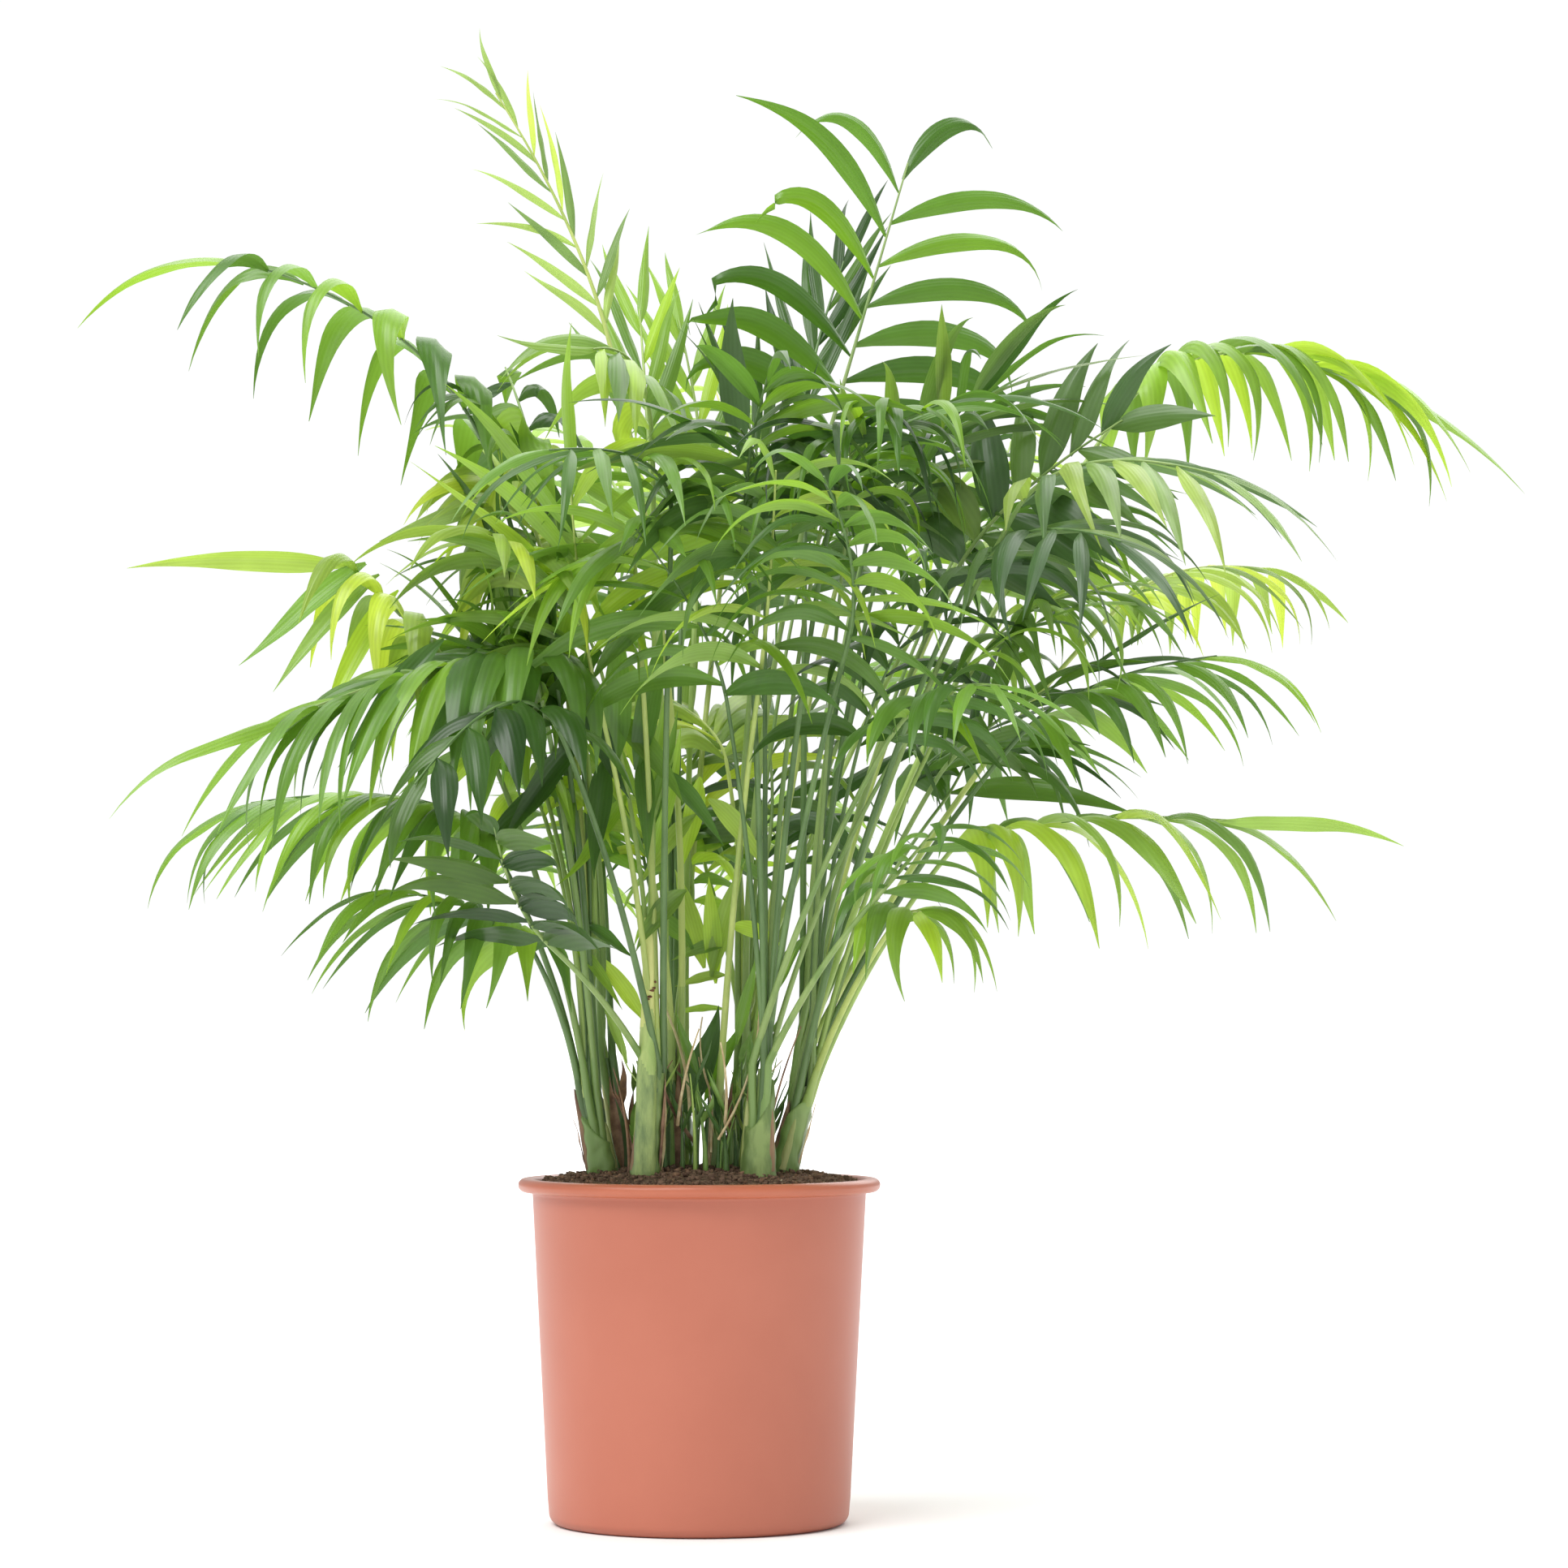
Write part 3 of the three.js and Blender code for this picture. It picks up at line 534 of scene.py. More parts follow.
# knee: where the first leaflets stand, as [compass heading from the cane, distance out from its
# top, height]; tip: the end of the rib, as [turn from that heading, distance out from the knee,
# height]; then the pairs of leaflets of the solid, the longest leaflet, the roll and the green.
frondRows = [
    ("young_tall", "middle", "young", [148, 40, 620], [15, 66, 762], 9, 60, 70, "pale"),
    ("arch_top_left", "left", "comb", [-167, 50, 548], [5, 140, 655], 7, 134, 0, "mid"),
    ("dark_top_left", "left_back", "drape", [135, 50, 545], [-20, 55, 620], 4, 72, 40, "dark"),
    ("pale_left", "left", "plume", [-108, 65, 475], [-10, 55, 510], 5, 88, 20, "lime"),
    ("long_left", "front", "level", [-99, 5, 555], [-20, 60, 605], 6, 92, 30, "light"),
    ("lime_left", "left", "sprung", [-163, 72, 440], [-8, 60, 504], 6, 135, 0, "lime"),
    ("comb_left", "left", "sprung", [-112, 65, 440], [-35, 138, 416], 9, 134, 0, "light"),
    ("low_left_fine", "left", "fine", [-166, 50, 352], [0, 128, 375], 10, 86, 0, "mid"),
    ("low_left", "left", "fine", [-155, 30, 296], [0, 84, 330], 7, 94, -10, "mid"),
    ("dark_front", "front", "broad", [-132, 75, 300], [25, 85, 360], 6, 66, 10, "dark"),
    ("dark_droop", "front", "drape", [-119, 88, 402], [-5, 122, 378], 6, 76, 3, "dark"),
    ("spike_left", "middle", "spike", [103, 65, 570], [-5, 50, 655], 4, 84, 0, "bright"),
    ("spike_back", "back", "spike", [81, 70, 555], [25, 50, 655], 4, 84, 0, "bright"),
    ("broad_upright", "back_right", "spike", [-60, 20, 515], [-160, 15, 590], 5, 92, 0, "dark"),
    ("front_left_high", "front", "plume", [-83, 90, 515], [-40, 105, 540], 7, 92, 10, "mid"),
    ("front_right", "front_right", "plume", [-69, 120, 450], [-30, 80, 525], 9, 94, 20, "mid"),
    ("front_centre", "short", "plume", [-78, 100, 432], [-6, 82, 532], 8, 80, 0, "light"),
    ("broad_right", "far_right", "broad", [-39, 100, 495], [10, 96, 570], 7, 76, -80, "darkWithPaintedSheen"),
    ("backlit_right", "far_right", "comb", [12, 175, 592], [-5, 142, 608], 9, 130, 0, "bright"),
    ("grey_right", "right", "plume", [-36, 130, 520], [0, 126, 532], 8, 104, -10, "darkWithPaintedSheen"),
    ("dark_right", "right", "plume", [-51, 125, 480], [-5, 130, 495], 7, 94, -10, "dark"),
    ("lime_far_right", "far_right", "fine", [24, 190, 490], [15, 125, 515], 8, 72, 0, "lime"),
    ("mid_right", "right", "plume", [-9, 110, 408], [-10, 108, 450], 8, 106, -5, "midDark"),
    ("mid_right_front", "front_right", "plume", [-52, 100, 400], [-10, 115, 425], 7, 86, 0, "mid"),
    ("low_right", "right", "sprung", [-6, 75, 350], [-5, 150, 366], 8, 132, 0, "light"),
    ("small_right", "right", "comb", [-50, 65, 308], [-15, 38, 318], 4, 92, 0, "bright"),
    ("star_back", "back_right", "fine", [64, 140, 550], [20, 40, 605], 5, 70, 0, "bright"),
    ("back_right_high", "back_right", "plume", [52, 185, 515], [15, 100, 600], 7, 88, 0, "bright"),
    ("back_left_high", "back", "plume", [102, 145, 535], [15, 110, 610], 7, 90, 0, "light"),
    ("back_centre", "back", "plume", [81, 160, 545], [15, 110, 640], 7, 93, 0, "light"),
    ("back_left", "left_back", "plume", [95, 155, 435], [35, 130, 460], 8, 88, 0, "mid"),
    ("back_right", "back_right", "plume", [67, 155, 445], [-5, 125, 470], 8, 88, 0, "mid"),
    ("inner_low", "middle", "fine", [79, 45, 320], [20, 50, 375], 5, 64, 0, "bright"),
    ("inner_broad", "middle", "spike", [-124, 20, 340], [10, 20, 400], 4, 80, 0, "bright"),
    ("low_front_right", "front_right", "plume", [-50, 90, 325], [-20, 85, 360], 6, 76, 0, "mid"),
    ("low_back_left", "left_back", "plume", [102, 120, 340], [15, 110, 370], 7, 78, 0, "light"),
    ("low_back", "back_right", "plume", [80, 105, 345], [0, 100, 395], 7, 78, 0, "bright"),
    ("tall_right", "back_right", "tall", [19, 45, 575], [15, 54, 731], 7, 116, -80, "darkBright"),
    ("tall_right_back", "far_right", "spike", [90, 85, 590], [-20, 65, 690], 5, 94, -10, "dark"),
]
fronds = [frond(*row) for row in frondRows]

# Inner fronds fill the crown between the named ones: their headings follow the golden angle.
# The pairs of numbers are ranges; stray: how much chance counts when a frond picks its cane.
innerShape = {
    "count": 40, "turn": 137.5, "first": -95, "out": (30, 95), "height": (330, 510), "frontLift": 70,
    "reach": (55, 95), "rise": (20, 100), "top": 585, "pairs": (6, 8), "leaf": (92, 124), "loose": 2.0,
    "stray": 45, "tipSwing": 50, "rollSwing": 40, "backShort": 0.15,
    "habits": ["plume", "wisp", "fine", "spray", "wisp", "spray", "plume"],
    "greens": ["midDark", "dark", "mid", "darkWithPaintedSheen", "dark", "light", "midDark", "darkBright", "dark"],
    "leftGreens": ["light", "mid", "bright", "light", "lime", "mid", "light", "midDark"],
    "slim": 0.72,  # how far the spread to the left is held back
    "wide": 1.06, "leftWide": 1.12,  # wider leaflets than the habit's, and on the left
}


def growInner():
    s = innerShape
    names = list(canes)
    made = []
    for k in range(s["count"]):
        draw = [chance(k * 17 + j * 5 + 0.37) for j in range(8)]
        heading = s["first"] + s["turn"] * k
        way = compass(heading)
        onLeft = way[0] < -0.1
        behind = 0.5 - 0.5 * math.sin(math.radians(-heading))  # 0 towards the front, 1 to the back
        cane = max(names, key=lambda n: (
            np.dot(way[:2], canes[n]["top"]) + s["stray"] * chance(k * 31 + names.index(n))))
        height = min(mix(*s["height"], draw[0]) + s["frontLift"] * (1 - behind), s["height"][1])
        held = 1 - s["slim"] * max(0, -way[0])
        knee = [heading, mix(*s["out"], draw[1]) * held, height]
        tip = [s["tipSwing"] * (draw[2] - 0.5),
               mix(*s["reach"], draw[3]) * (1 - s["backShort"] * behind) * held,
               min(height + mix(*s["rise"], draw[4]), s["top"])]
        greens = s["leftGreens"] if onLeft else s["greens"]
        f = frond(
            f"inner{k}", cane, s["habits"][k % len(s["habits"])], knee, tip,
            round(mix(*s["pairs"], draw[5])), mix(*s["leaf"], draw[6]), s["rollSwing"] * (draw[7] - 0.5),
            greens[k % len(greens)])
        f["loose"] = s["loose"]
        f["wide"] *= s["leftWide"] if onLeft else s["wide"]
        made.append(f)
    return made


innerFronds = growInner()
everyFrond = fronds + innerFronds

# Where the finer leaflets of a frond are wider, longer or looser than the rule has them; skin is
# the finish of its stalk, aim the way of its last leaflet.
fitted = {
    "young_tall": dict(loose=1.9, wide=5.2, droop=0.35),
    "arch_top_left": dict(wide=20, leaf=144),
    "dark_top_left": dict(green="midDark"),
    "pale_left": dict(wide=16, leaf=100, skin=3),
    "lime_left": dict(wide=20, aim=[-1, -0.12, 0.14], end=0.25, skin=2),
    "comb_left": dict(skin=2, pairs=13, wide=21, leaf=142, green="mid"),
    "low_left_fine": dict(pairs=13, wide=17.5, leaf=114),
    "low_left": dict(pairs=9, wide=15, leaf=104),
    "backlit_right": dict(pairs=12, wide=19, leaf=138),
    "low_right": dict(wide=19),
    "lime_far_right": dict(pairs=10, leaf=84),
    "tall_right": dict(leaf=136, loose=0.6, droop=1.25, hold=0.6),
    "front_centre": dict(leaf=112, wide=10.5, loose=1.8, droop=2.0),
    "front_right": dict(leaf=104, wide=11.5, loose=1.5),
    "front_left_high": dict(leaf=104, wide=11, loose=1.5),
    # dark_right takes the grey dark green, whose grey paints the sheen of its leaves
    "dark_right": dict(leaf=104, wide=12, loose=1.3, green="darkWithPaintedSheen"),
    # grey_right takes the grey light green, whose grey paints the sheen of its leaves
    "grey_right": dict(green="lightWithPaintedSheen"),
    "mid_right": dict(green="mid"),
}
for f in fronds:
    f.update(fitted.get(f["name"], {}))

stalkShape = {
    "radius": 2.0, "knee": 1.25, "tip": 0.5, "bow": 0.08, "inset": 1.6, "sides": 10,
    "innerThin": 0.72, "innerTurn": 40, "innerRing": 0.5,  # how the stalks of inner fronds differ
    "finishes": [
        ("stalkPale", (160, 186, 100), (132, 160, 78), 60, 0.15, 0.42),
        ("stalkYellow", (184, 198, 112), (156, 176, 90), 60, 0.15, 0.42),
        ("stalkGreen", (110, 140, 72), (136, 160, 92), 60, 0.15, 0.42),
        ("stalkDeep", (76, 106, 56), (100, 130, 74), 60, 0.15, 0.42),
    ],
}
leafletShape = {
    "stations": 18, "across": [-1, -0.66, -0.3, 0, 0.3, 0.66, 1], "fold": 21, "foldSwing": 14,
    "rootFold": 1.2, "swing": 60, "endSpread": 0.2, "sweep": 0.05, "curl": 0.12, "wave": 0.25,
    "rootShare": 0.18, "leastShare": 0.02,  # of the full width, at the root and near the tip
    "sway": {"spread": 10, "lift": 18, "droop": 0.6, "twist": 40},  # by chance, where loose is 1
    "even": 0.62,  # the share of the longest length that even the leaflets at the ends have
    # what these are worth where the rib starts, and how much they lose towards its tip
    "taper": {"width": (1.1, 0.38), "opening": (1.15, 0.5), "droop": (1.2, 0.4)},
}


def crownOf(cane):  # the middle of the cane's cut, just clear of it
    return np.array([*cane["top"], cane["height"] + clearance])


def placeFeet():
    # the feet stand in a ring on the cane's cut; the flattest stalk chooses first
    for name, cane in canes.items():
        own = [f for f in fronds + [cutStalk] if f["cane"] == name]
        own.sort(key=lambda f: (f["knee"][2] - cane["height"]) / f["knee"][1])
        ring = cane["radii"][1] - stalkShape["inset"] if len(own) > 1 else 0
        first = own[0]["knee"][0]
        places = [compass(first + 360 * i / len(own)) for i in range(len(own))]
        for f in own:
            ahead = compass(f["knee"][0])
            places.sort(key=lambda p: -np.dot(p, ahead))
            f["place"] = places.pop(0)
            f["foot"] = crownOf(cane) + f["place"] * ring
    for f in innerFronds:  # these stand inside the ring
        cane = canes[f["cane"]]
        f["place"] = compass(f["knee"][0] + stalkShape["innerTurn"])
        f["foot"] = crownOf(cane) + f["place"] * cane["radii"][1] * stalkShape["innerRing"]


def runOf(f):
    # the stalk's curve from the foot to the knee and the blade's from the knee to the tip
    crown = crownOf(canes[f["cane"]])
    heading, out, kneeHeight = f["knee"]
    turn, reach, tipHeight = f["tip"]
    ahead = compass(heading)
    knee = crown + ahead * out
    knee[2] = kneeHeight
    bow = stalkShape["bow"]
    bend = (f["foot"] + knee) / 2 + upward * out * bow - ahead * (kneeHeight - crown[2]) * bow
    onward = compass(heading + turn)
    tip = knee + onward * reach
    tip[2] = tipHeight
    arch = knee + unit(knee - bend) * f["arch"] * np.linalg.norm(tip - knee)
    f["stalk"] = (f["foot"], bend, knee)
    f["blade"] = (knee, arch, tip)
    f["side"] = np.array([onward[1], -onward[0], 0.0])


def frameAt(f, t):
    along = curveAlong(f["blade"], t)
    normal = unit(np.cross(f["side"], along))
    side = unit(np.cross(along, normal))
    c, s = math.cos(math.radians(f["roll"])), math.sin(math.radians(f["roll"]))
    return along, side * c + normal * s, normal * c - side * s


def leafletWidth(s):  # share of the full width along a leaflet
    return np.sin(math.pi * np.clip(s, 0, 1) ** 0.74) ** 1.05


def heapBlade(heap, curve, length, width, broad, hand, seed, finish):
    # a folded, gently twisted blade along a curve; broad is the way its width lies
    shape = leafletShape
    s = np.linspace(0, 1, shape["stations"]) ** 0.92  # a little closer towards the tip
    middle = curveAt(curve, s)
    run = curveAlong(curve, s)
    w = unit(broad - run * (run @ broad)[:, None])
    n = np.cross(run, w)
    # swing twists it towards the tip, sweep bends it sideways and curl turns its end down
    swing = math.radians(shape["swing"] * (chance(seed + 0.71) - 0.5)) * s ** 1.5
    w, n = (w * np.cos(swing)[:, None] + n * np.sin(swing)[:, None],
            n * np.cos(swing)[:, None] - w * np.sin(swing)[:, None])
    sweep = shape["sweep"] * (2.4 * chance(seed + 0.81) - 0.6) * hand
    middle = middle + w * (sweep * length * (s ** 2 - 0.35 * s))[:, None]
    curl = shape["curl"] * (chance(seed + 0.91) * 1.6 - 0.3) * np.clip((s - 0.6) / 0.4, 0, 1) ** 2
    middle = middle - n * (curl * length)[:, None]
    share = np.maximum(leafletWidth(s), shape["leastShare"])
    share[0] = shape["rootShare"]
    half = width / 2 * share
    fold = math.radians(shape["fold"] + shape["foldSwing"] * (chance(seed + 0.61) - 0.3))
    folds = fold * (1 + shape["rootFold"] * np.exp(-s * 9))  # tighter at the root
    u = np.array(shape["across"], float)
    ripple = shape["wave"] * np.sin(s * 19 + 6.3 * chance(seed + 0.33))[:, None] * u * np.abs(u)
    lower = np.abs(u) ** 1.15 * np.sin(folds)[:, None] * half[:, None]
    reach = u * np.cos(folds)[:, None] * half[:, None]
    lower -= ripple * share[:, None]
    grid = middle[:, None] + w[:, None] * reach[..., None] - n[:, None] * lower[..., None]
    heapGrid(heap, grid, finish, breadth=share)


def taper(kind, v):
    first, loss = leafletShape["taper"][kind]
    return first - loss * v


def growLeaflet(heap, f, number, i, finish):
    hand = 1 if i % 2 else -1  # the leaflets take turns on the two sides of the rib
    v = (i // 2 + (0.65 if i % 2 else 0.35)) / f["pairs"]
    t = v ** 0.92
    seed = number * 100 + i
    along, side, normal = frameAt(f, t)
    root = curveAt(f["blade"], t)
    atEnd = i == f["pairs"] * 2 - 1  # the last one ends the rib
    even = leafletShape["even"]
    length = f["leaf"] * (even + (1 - even) * math.sin(math.pi * (0.28 + 0.62 * v)))
    length *= 0.92 + 0.16 * chance(seed + 0.1)
    width = f["wide"] * (0.9 + 0.2 * chance(seed + 0.6)) * taper("width", v)
    opening = f["spread"] * (leafletShape["endSpread"] if atEnd else taper("opening", v))
    loose = f["loose"]
    sway = leafletShape["sway"]
    spread = math.radians(opening + sway["spread"] * loose * (chance(seed + 0.2) - 0.5))
    lift = math.radians(f["lift"] + sway["lift"] * loose * (chance(seed + 0.3) - 0.5))
    droop = f["end"] if atEnd else f["droop"] * taper("droop", v)
    droop *= 1 + sway["droop"] * loose * (chance(seed + 0.4) - 0.5)
    twist = math.radians(sway["twist"] * loose * (chance(seed + 0.5) - 0.5))
    out = along * math.cos(spread) + side * hand * math.cos(lift) * math.sin(spread)
    out = out + normal * math.sin(lift) * math.sin(spread)
    if atEnd and "aim" in f:
        out = unit(np.array(f["aim"]))
    hang = unit(out - upward * droop)
    bend = root + out * length * f["hold"]
    tip = bend + hang * length * (1.04 - f["hold"])
    flat = unit(along - out * np.dot(along, out))
    broad = (flat * math.cos(twist) + np.cross(out, flat) * math.sin(twist)) * hand
    heapBlade(heap, (root, bend, tip), length, width, broad, hand, seed, finish)


placeFeet()
for f in everyFrond:
    runOf(f)

# Single leaves where the fronds leave the crown too thin: green, root, tip, width, and how far
# the middle bows upward.
looseLeaves = [
    ("lime", [-6, -38, 330], [-34, -44, 299], 13, 7), ("lime", [6, 30, 284], [22, 26, 348], 13, 3),
    ("lime", [2, 30, 290], [-14, 40, 342], 12, 3), ("bright", [8, 34, 282], [4, 20, 340], 11, 2),
    ("lime", [15, 30, 302], [-15, 27, 293], 9, 5), ("lime", [14, 30, 286], [-13, 27, 279], 7, 4),
    ("bright", [13, 30, 268], [-15, 27, 266], 5, 3), ("bright", [16, 30, 312], [44, 26, 300], 10, 6),
    ("bright", [-4, 28, 300], [-40, 30, 322], 13, 8), ("dark", [-7, 2, 214], [13, -2, 270], 16, 0),
    ("darkBright", [3, 6, 220], [25, 2, 262], 11, 3), ("mid", [-66, -12, 302], [-40, -18, 268], 8, 6),
    ("mid", [-60, -10, 312], [-34, -18, 292], 8, 6), ("light", [30, 10, 262], [52, 4, 300], 9, 3),
    ("mid", [20, -20, 250], [30, -26, 296], 8, 2), ("light", [-30, 20, 262], [-58, 14, 300], 11, 4),
    ("bright", [34, 26, 268], [58, 34, 310], 12, 5), ("mid", [0, -16, 232], [-14, -20, 266], 6, 2),
    ("light", [-38, -4, 240], [-52, -16, 276], 6, 2), ("lime", [-106, -18, 542], [-124, -26, 448], 15, 8),
    ("lime", [-102, -17, 520], [-97, -30, 428], 14, 3),
    ("pale", [-104, -17, 530], [-166, -32, 508], 12, 9),
    ("lime", [-97, -15, 495], [-84, -22, 412], 12, 4),
    ("bright", [-99, -16, 505], [-140, -6, 452], 13, 10),
    ("pale", [-95, -15, 484], [-128, -22, 420], 11, 8),
    ("dark", [-60, -52, 408], [-98, -60, 350], 15, 10), ("dark", [-48, -50, 398], [-54, -64, 334], 14, 8),
    ("midDark", [-44, -48, 420], [-6, -56, 374], 13, 10),
    ("darkWithPaintedSheen", [-62, -50, 430], [-38, -62, 374], 13, 8),
    ("dark", [-70, -48, 388], [-114, -56, 342], 13, 9),
    ("midDark", [-30, -44, 402], [-24, -54, 344], 12, 6),
    ("mid", [-36, -40, 380], [-66, -48, 328], 11, 6), ("mid", [-20, -40, 392], [14, -50, 352], 11, 8),
    ("lime", [-2, 30, 372], [-32, 34, 332], 12, 6), ("lime", [4, 30, 380], [36, 34, 344], 12, 6),
    ("bright", [0, 32, 392], [-8, 36, 342], 12, 4), ("light", [12, 28, 350], [48, 30, 322], 10, 5),
    ("mid", [-42, -50, 396], [-40, -57, 472], 16, 0),
    ("midDark", [-32, -50, 392], [-16, -58, 466], 14, 0),
    ("mid", [-52, -48, 400], [-68, -55, 462], 13, 0), ("darkWithPaintedSheen", [22, -34, 558], [12, -42, 637], 17, 0),
    ("midDark", [-62, -30, 500], [-100, -42, 572], 14, 6),
    ("light", [-40, -34, 486], [-92, -48, 520], 12, 10),
    ("mid", [-30, -30, 520], [-86, -40, 548], 13, 12),
    ("midDark", [-10, -40, 500], [56, -60, 540], 13, 10),
    ("light", [-166, -34, 494], [-214, -62, 430], 15, 12),
    ("mid", [-173, -35, 500], [-230, -60, 440], 14, 14),
    ("bright", [-156, -33, 486], [-196, -58, 412], 14, 12),
    ("mid", [-128, -97, 456], [-176, -120, 388], 14, 12),
    ("midDark", [-112, -86, 452], [-140, -104, 372], 14, 10),
    ("mid", [-98, -77, 446], [-104, -94, 362], 13, 8),
]

# Which greens each slot of the record takes when a frond has no solid of its own.
slotGreens = {
    "leaf_pale": ["pale"],
    "leaf_lime": ["lime", "bright"],
    "leaf_light": ["light", "lightWithPaintedSheen"],
    "leaf_mid": ["mid", "midDark"],
    "leaf_dark": ["dark", "darkWithPaintedSheen", "darkBright"],
}
slotOfNode = {row["node"]: row["material_slot"] for row in frame["record"]["subparts"]}
# Each leaflet of a frond is dealt one of these shades: old and cool, plain, young and warm.
shades = [(0.74, 0.80, 0.84), (0.92, 0.94, 0.95), (1.02, 1.02, 1.02), (1.2, 1.14, 0.98)]


def slotOf(f):
    byGreen = next(name for name, greens in slotGreens.items() if f["green"] in greens)
    return slotOfNode.get("frond_" + f["name"], byGreen)


def indexOf(key, used):  # the place of a leaf material in its piece, new or already there
    if key not in used:
        used.append(key)
    return used.index(key)


def makeLeaflets():
    leafMaterials = {(green, k): leafMaterial(f"leaf_{green}_{k}", leafGreens[green], shade)
                     for green in leafGreens for k, shade in enumerate(shades)}
    for slotName in slotGreens:
        heap = newHeap()
        nodes = []
        used = []
        for number, f in enumerate(everyFrond):
            if slotOf(f) != slotName:
                continue
            if f in fronds:
                nodes.append("frond_" + f["name"])
            for i in range(f["pairs"] * 2):
                key = (f["green"], int(chance(number * 7 + i * 3 + 0.17) * len(shades)))
                growLeaflet(heap, f, number, i, indexOf(key, used))
        for number, (green, root, tip, width, bow) in enumerate(looseLeaves):
            if green not in slotGreens[slotName]:
                continue
            root, tip = np.array(root, float), np.array(tip, float)
            curve = (root, (root + tip) / 2 + upward * bow, tip)
            across = np.cross(tip - root, [0, -1, 0.3 + chance(number)])
            finish = indexOf((green, number % len(shades)), used)
            heapBlade(heap, curve, np.linalg.norm(tip - root), width, across, 1, number + 0.3, finish)
        materials = [leafMaterials[key] for key in used]
        pieceFrom(heap, slotName.replace("leaf_", "leaflets_"), materials, nodes)


makeLeaflets()


def makeStalks():
    heap = newHeap()
    rise = np.linspace(0, 1, 16)
    reach = np.linspace(0, 1, 18)
    for number, f in enumerate(everyFrond):
        path = np.vstack([curveAt(f["stalk"], rise), curveAt(f["blade"], reach)[1:]])
        radii = np.concatenate([
            mix(stalkShape["radius"], stalkShape["knee"], rise),
            mix(stalkShape["knee"], stalkShape["tip"], reach)[1:]])
        radii *= 1 if f in fronds else mix(stalkShape["innerThin"], 1.0, chance(number + 0.44))
        old = 0 if f["green"] in ("pale", "lime", "bright", "light") else 2
        f.setdefault("skin", old + int(chance(number + 0.14) < 0.5))
        heapTube(heap, path, radii, stalkShape["sides"], f["skin"])
    stalkNodes = [n for n in frame["nodes"] if n.startswith("stalk_")]
    pieceFrom(heap, "leafStalks", finishesOf(stalkShape["finishes"]), stalkNodes)


makeStalks()

strandFinish = [2, 2, 0, 1]  # the strand's finish for each skin of the stalk it runs into


def canePoint(cane, share):  # on the cane's axis, at one share of its height or at several
    foot = np.array([*cane["foot"], soil["top"] + clearance])
    top = np.array([*cane["top"], cane["height"]])
    return mix(foot, top, np.asarray(share)[..., None])


def outerSheath(heap, cane, index):
    # a fluted tube that closes round the stalk bases along a slanted mouth
    s = caneShape
    t = np.linspace(s["sunk"], s["coreTop"], s["rings"])
    path = canePoint(cane, t)
    rise = cane["height"] - soil["top"]
    wide = mix(cane["radii"][0], cane["radii"][1], t) * s["sheathWide"]
    wide *= mix(s["flare"], 1, smooth(np.maximum(t, 0) * rise / s["flareHeight"]))
    wide *= 1 + 0.02 * np.sin(t * 21 + index)
    grid = tubeGrid(path, wide, s["sides"], flute=s["sheathFlute"])
    turn = anglesOf(s["sides"])
    mouth = cane["mouth"] + s["slant"] * np.cos(turn + index * 1.7)
    closing = smooth((t[:, None] - mouth) * s["crisp"])
    grid = path[:, None] + (grid - path[:, None]) * mix(1, s["core"], closing)[..., None]
    heapGrid(heap, grid, cane["sheath"], closed=True)
    heapFan(heap, grid[-1], cane["sheath"], flip=True)


def strandDown(heap, cane, f, seed):
    # one stalk base: hidden in the sheath at its foot, free further up, then running on as the stalk
    s = caneShape
    t = np.linspace(s["sunk"], 1, s["rows"])
    lowRing = cane["radii"][0] * s["lowRing"] * mix(0.75, 1.2, chance(seed + 0.2))
    topRing = np.linalg.norm(f["foot"][:2] - cane["top"])
    path = canePoint(cane, t) + f["place"] * mix(lowRing, topRing, smooth(t))[:, None]
    split = mix(0.45, 0.95, chance(seed + 0.5))  # where the sheath lets the stalk go
    wide = cane["radii"][0] * s["lowWide"] * mix(0.85, 1.15, chance(seed + 0.7))
    radii = mix(wide, stalkShape["radius"] * 1.08, smooth(t) ** 0.7)
    radii = radii + 0.5 * smooth((split - t) * 12) * (t > 0)
    path = np.vstack([path, curveAt(f["stalk"], np.linspace(0.02, 0.08, 3))])
    radii = np.append(radii, [stalkShape["radius"] * k for k in (1.05, 1.02, 0.95)])
    heapTube(heap, path, radii, 14, strandFinish[f["skin"]])


def oldStubs(heap, cane, index):  # pointed ends of old sheaths, pressed to the cane
    rows = 14
    for stub in range(caneShape["stubs"]):
        seed = index * 9 + stub * 3
        away = compass(360 * chance(seed + 0.6))
        t = np.linspace(0, mix(0.55, 1.05, chance(seed + 0.1)), rows)
        out = cane["radii"][0] * (0.66 + 0.16 * t) + 3.0 * np.maximum(t - 0.5, 0) ** 2
        path = canePoint(cane, t) + away * out[:, None]
        radii = cane["radii"][0] * 0.42 * np.sqrt(np.linspace(1, 0.004, rows))
        heapTube(heap, path, radii, 12, 4 + (index + stub) % 2)


def makeCanes():
    heap = newHeap()
    nodes = ["cane_" + name for name in canes]
    for index, (name, cane) in enumerate(canes.items()):
        outerSheath(heap, cane, index)
        own = [f for f in everyFrond if f["cane"] == name]
        for number, f in enumerate(own):
            strandDown(heap, cane, f, index * 20 + number)
        oldStubs(heap, cane, index)
    pieceFrom(heap, "caneStems", finishesOf(caneShape["finishes"]), nodes)


makeCanes()


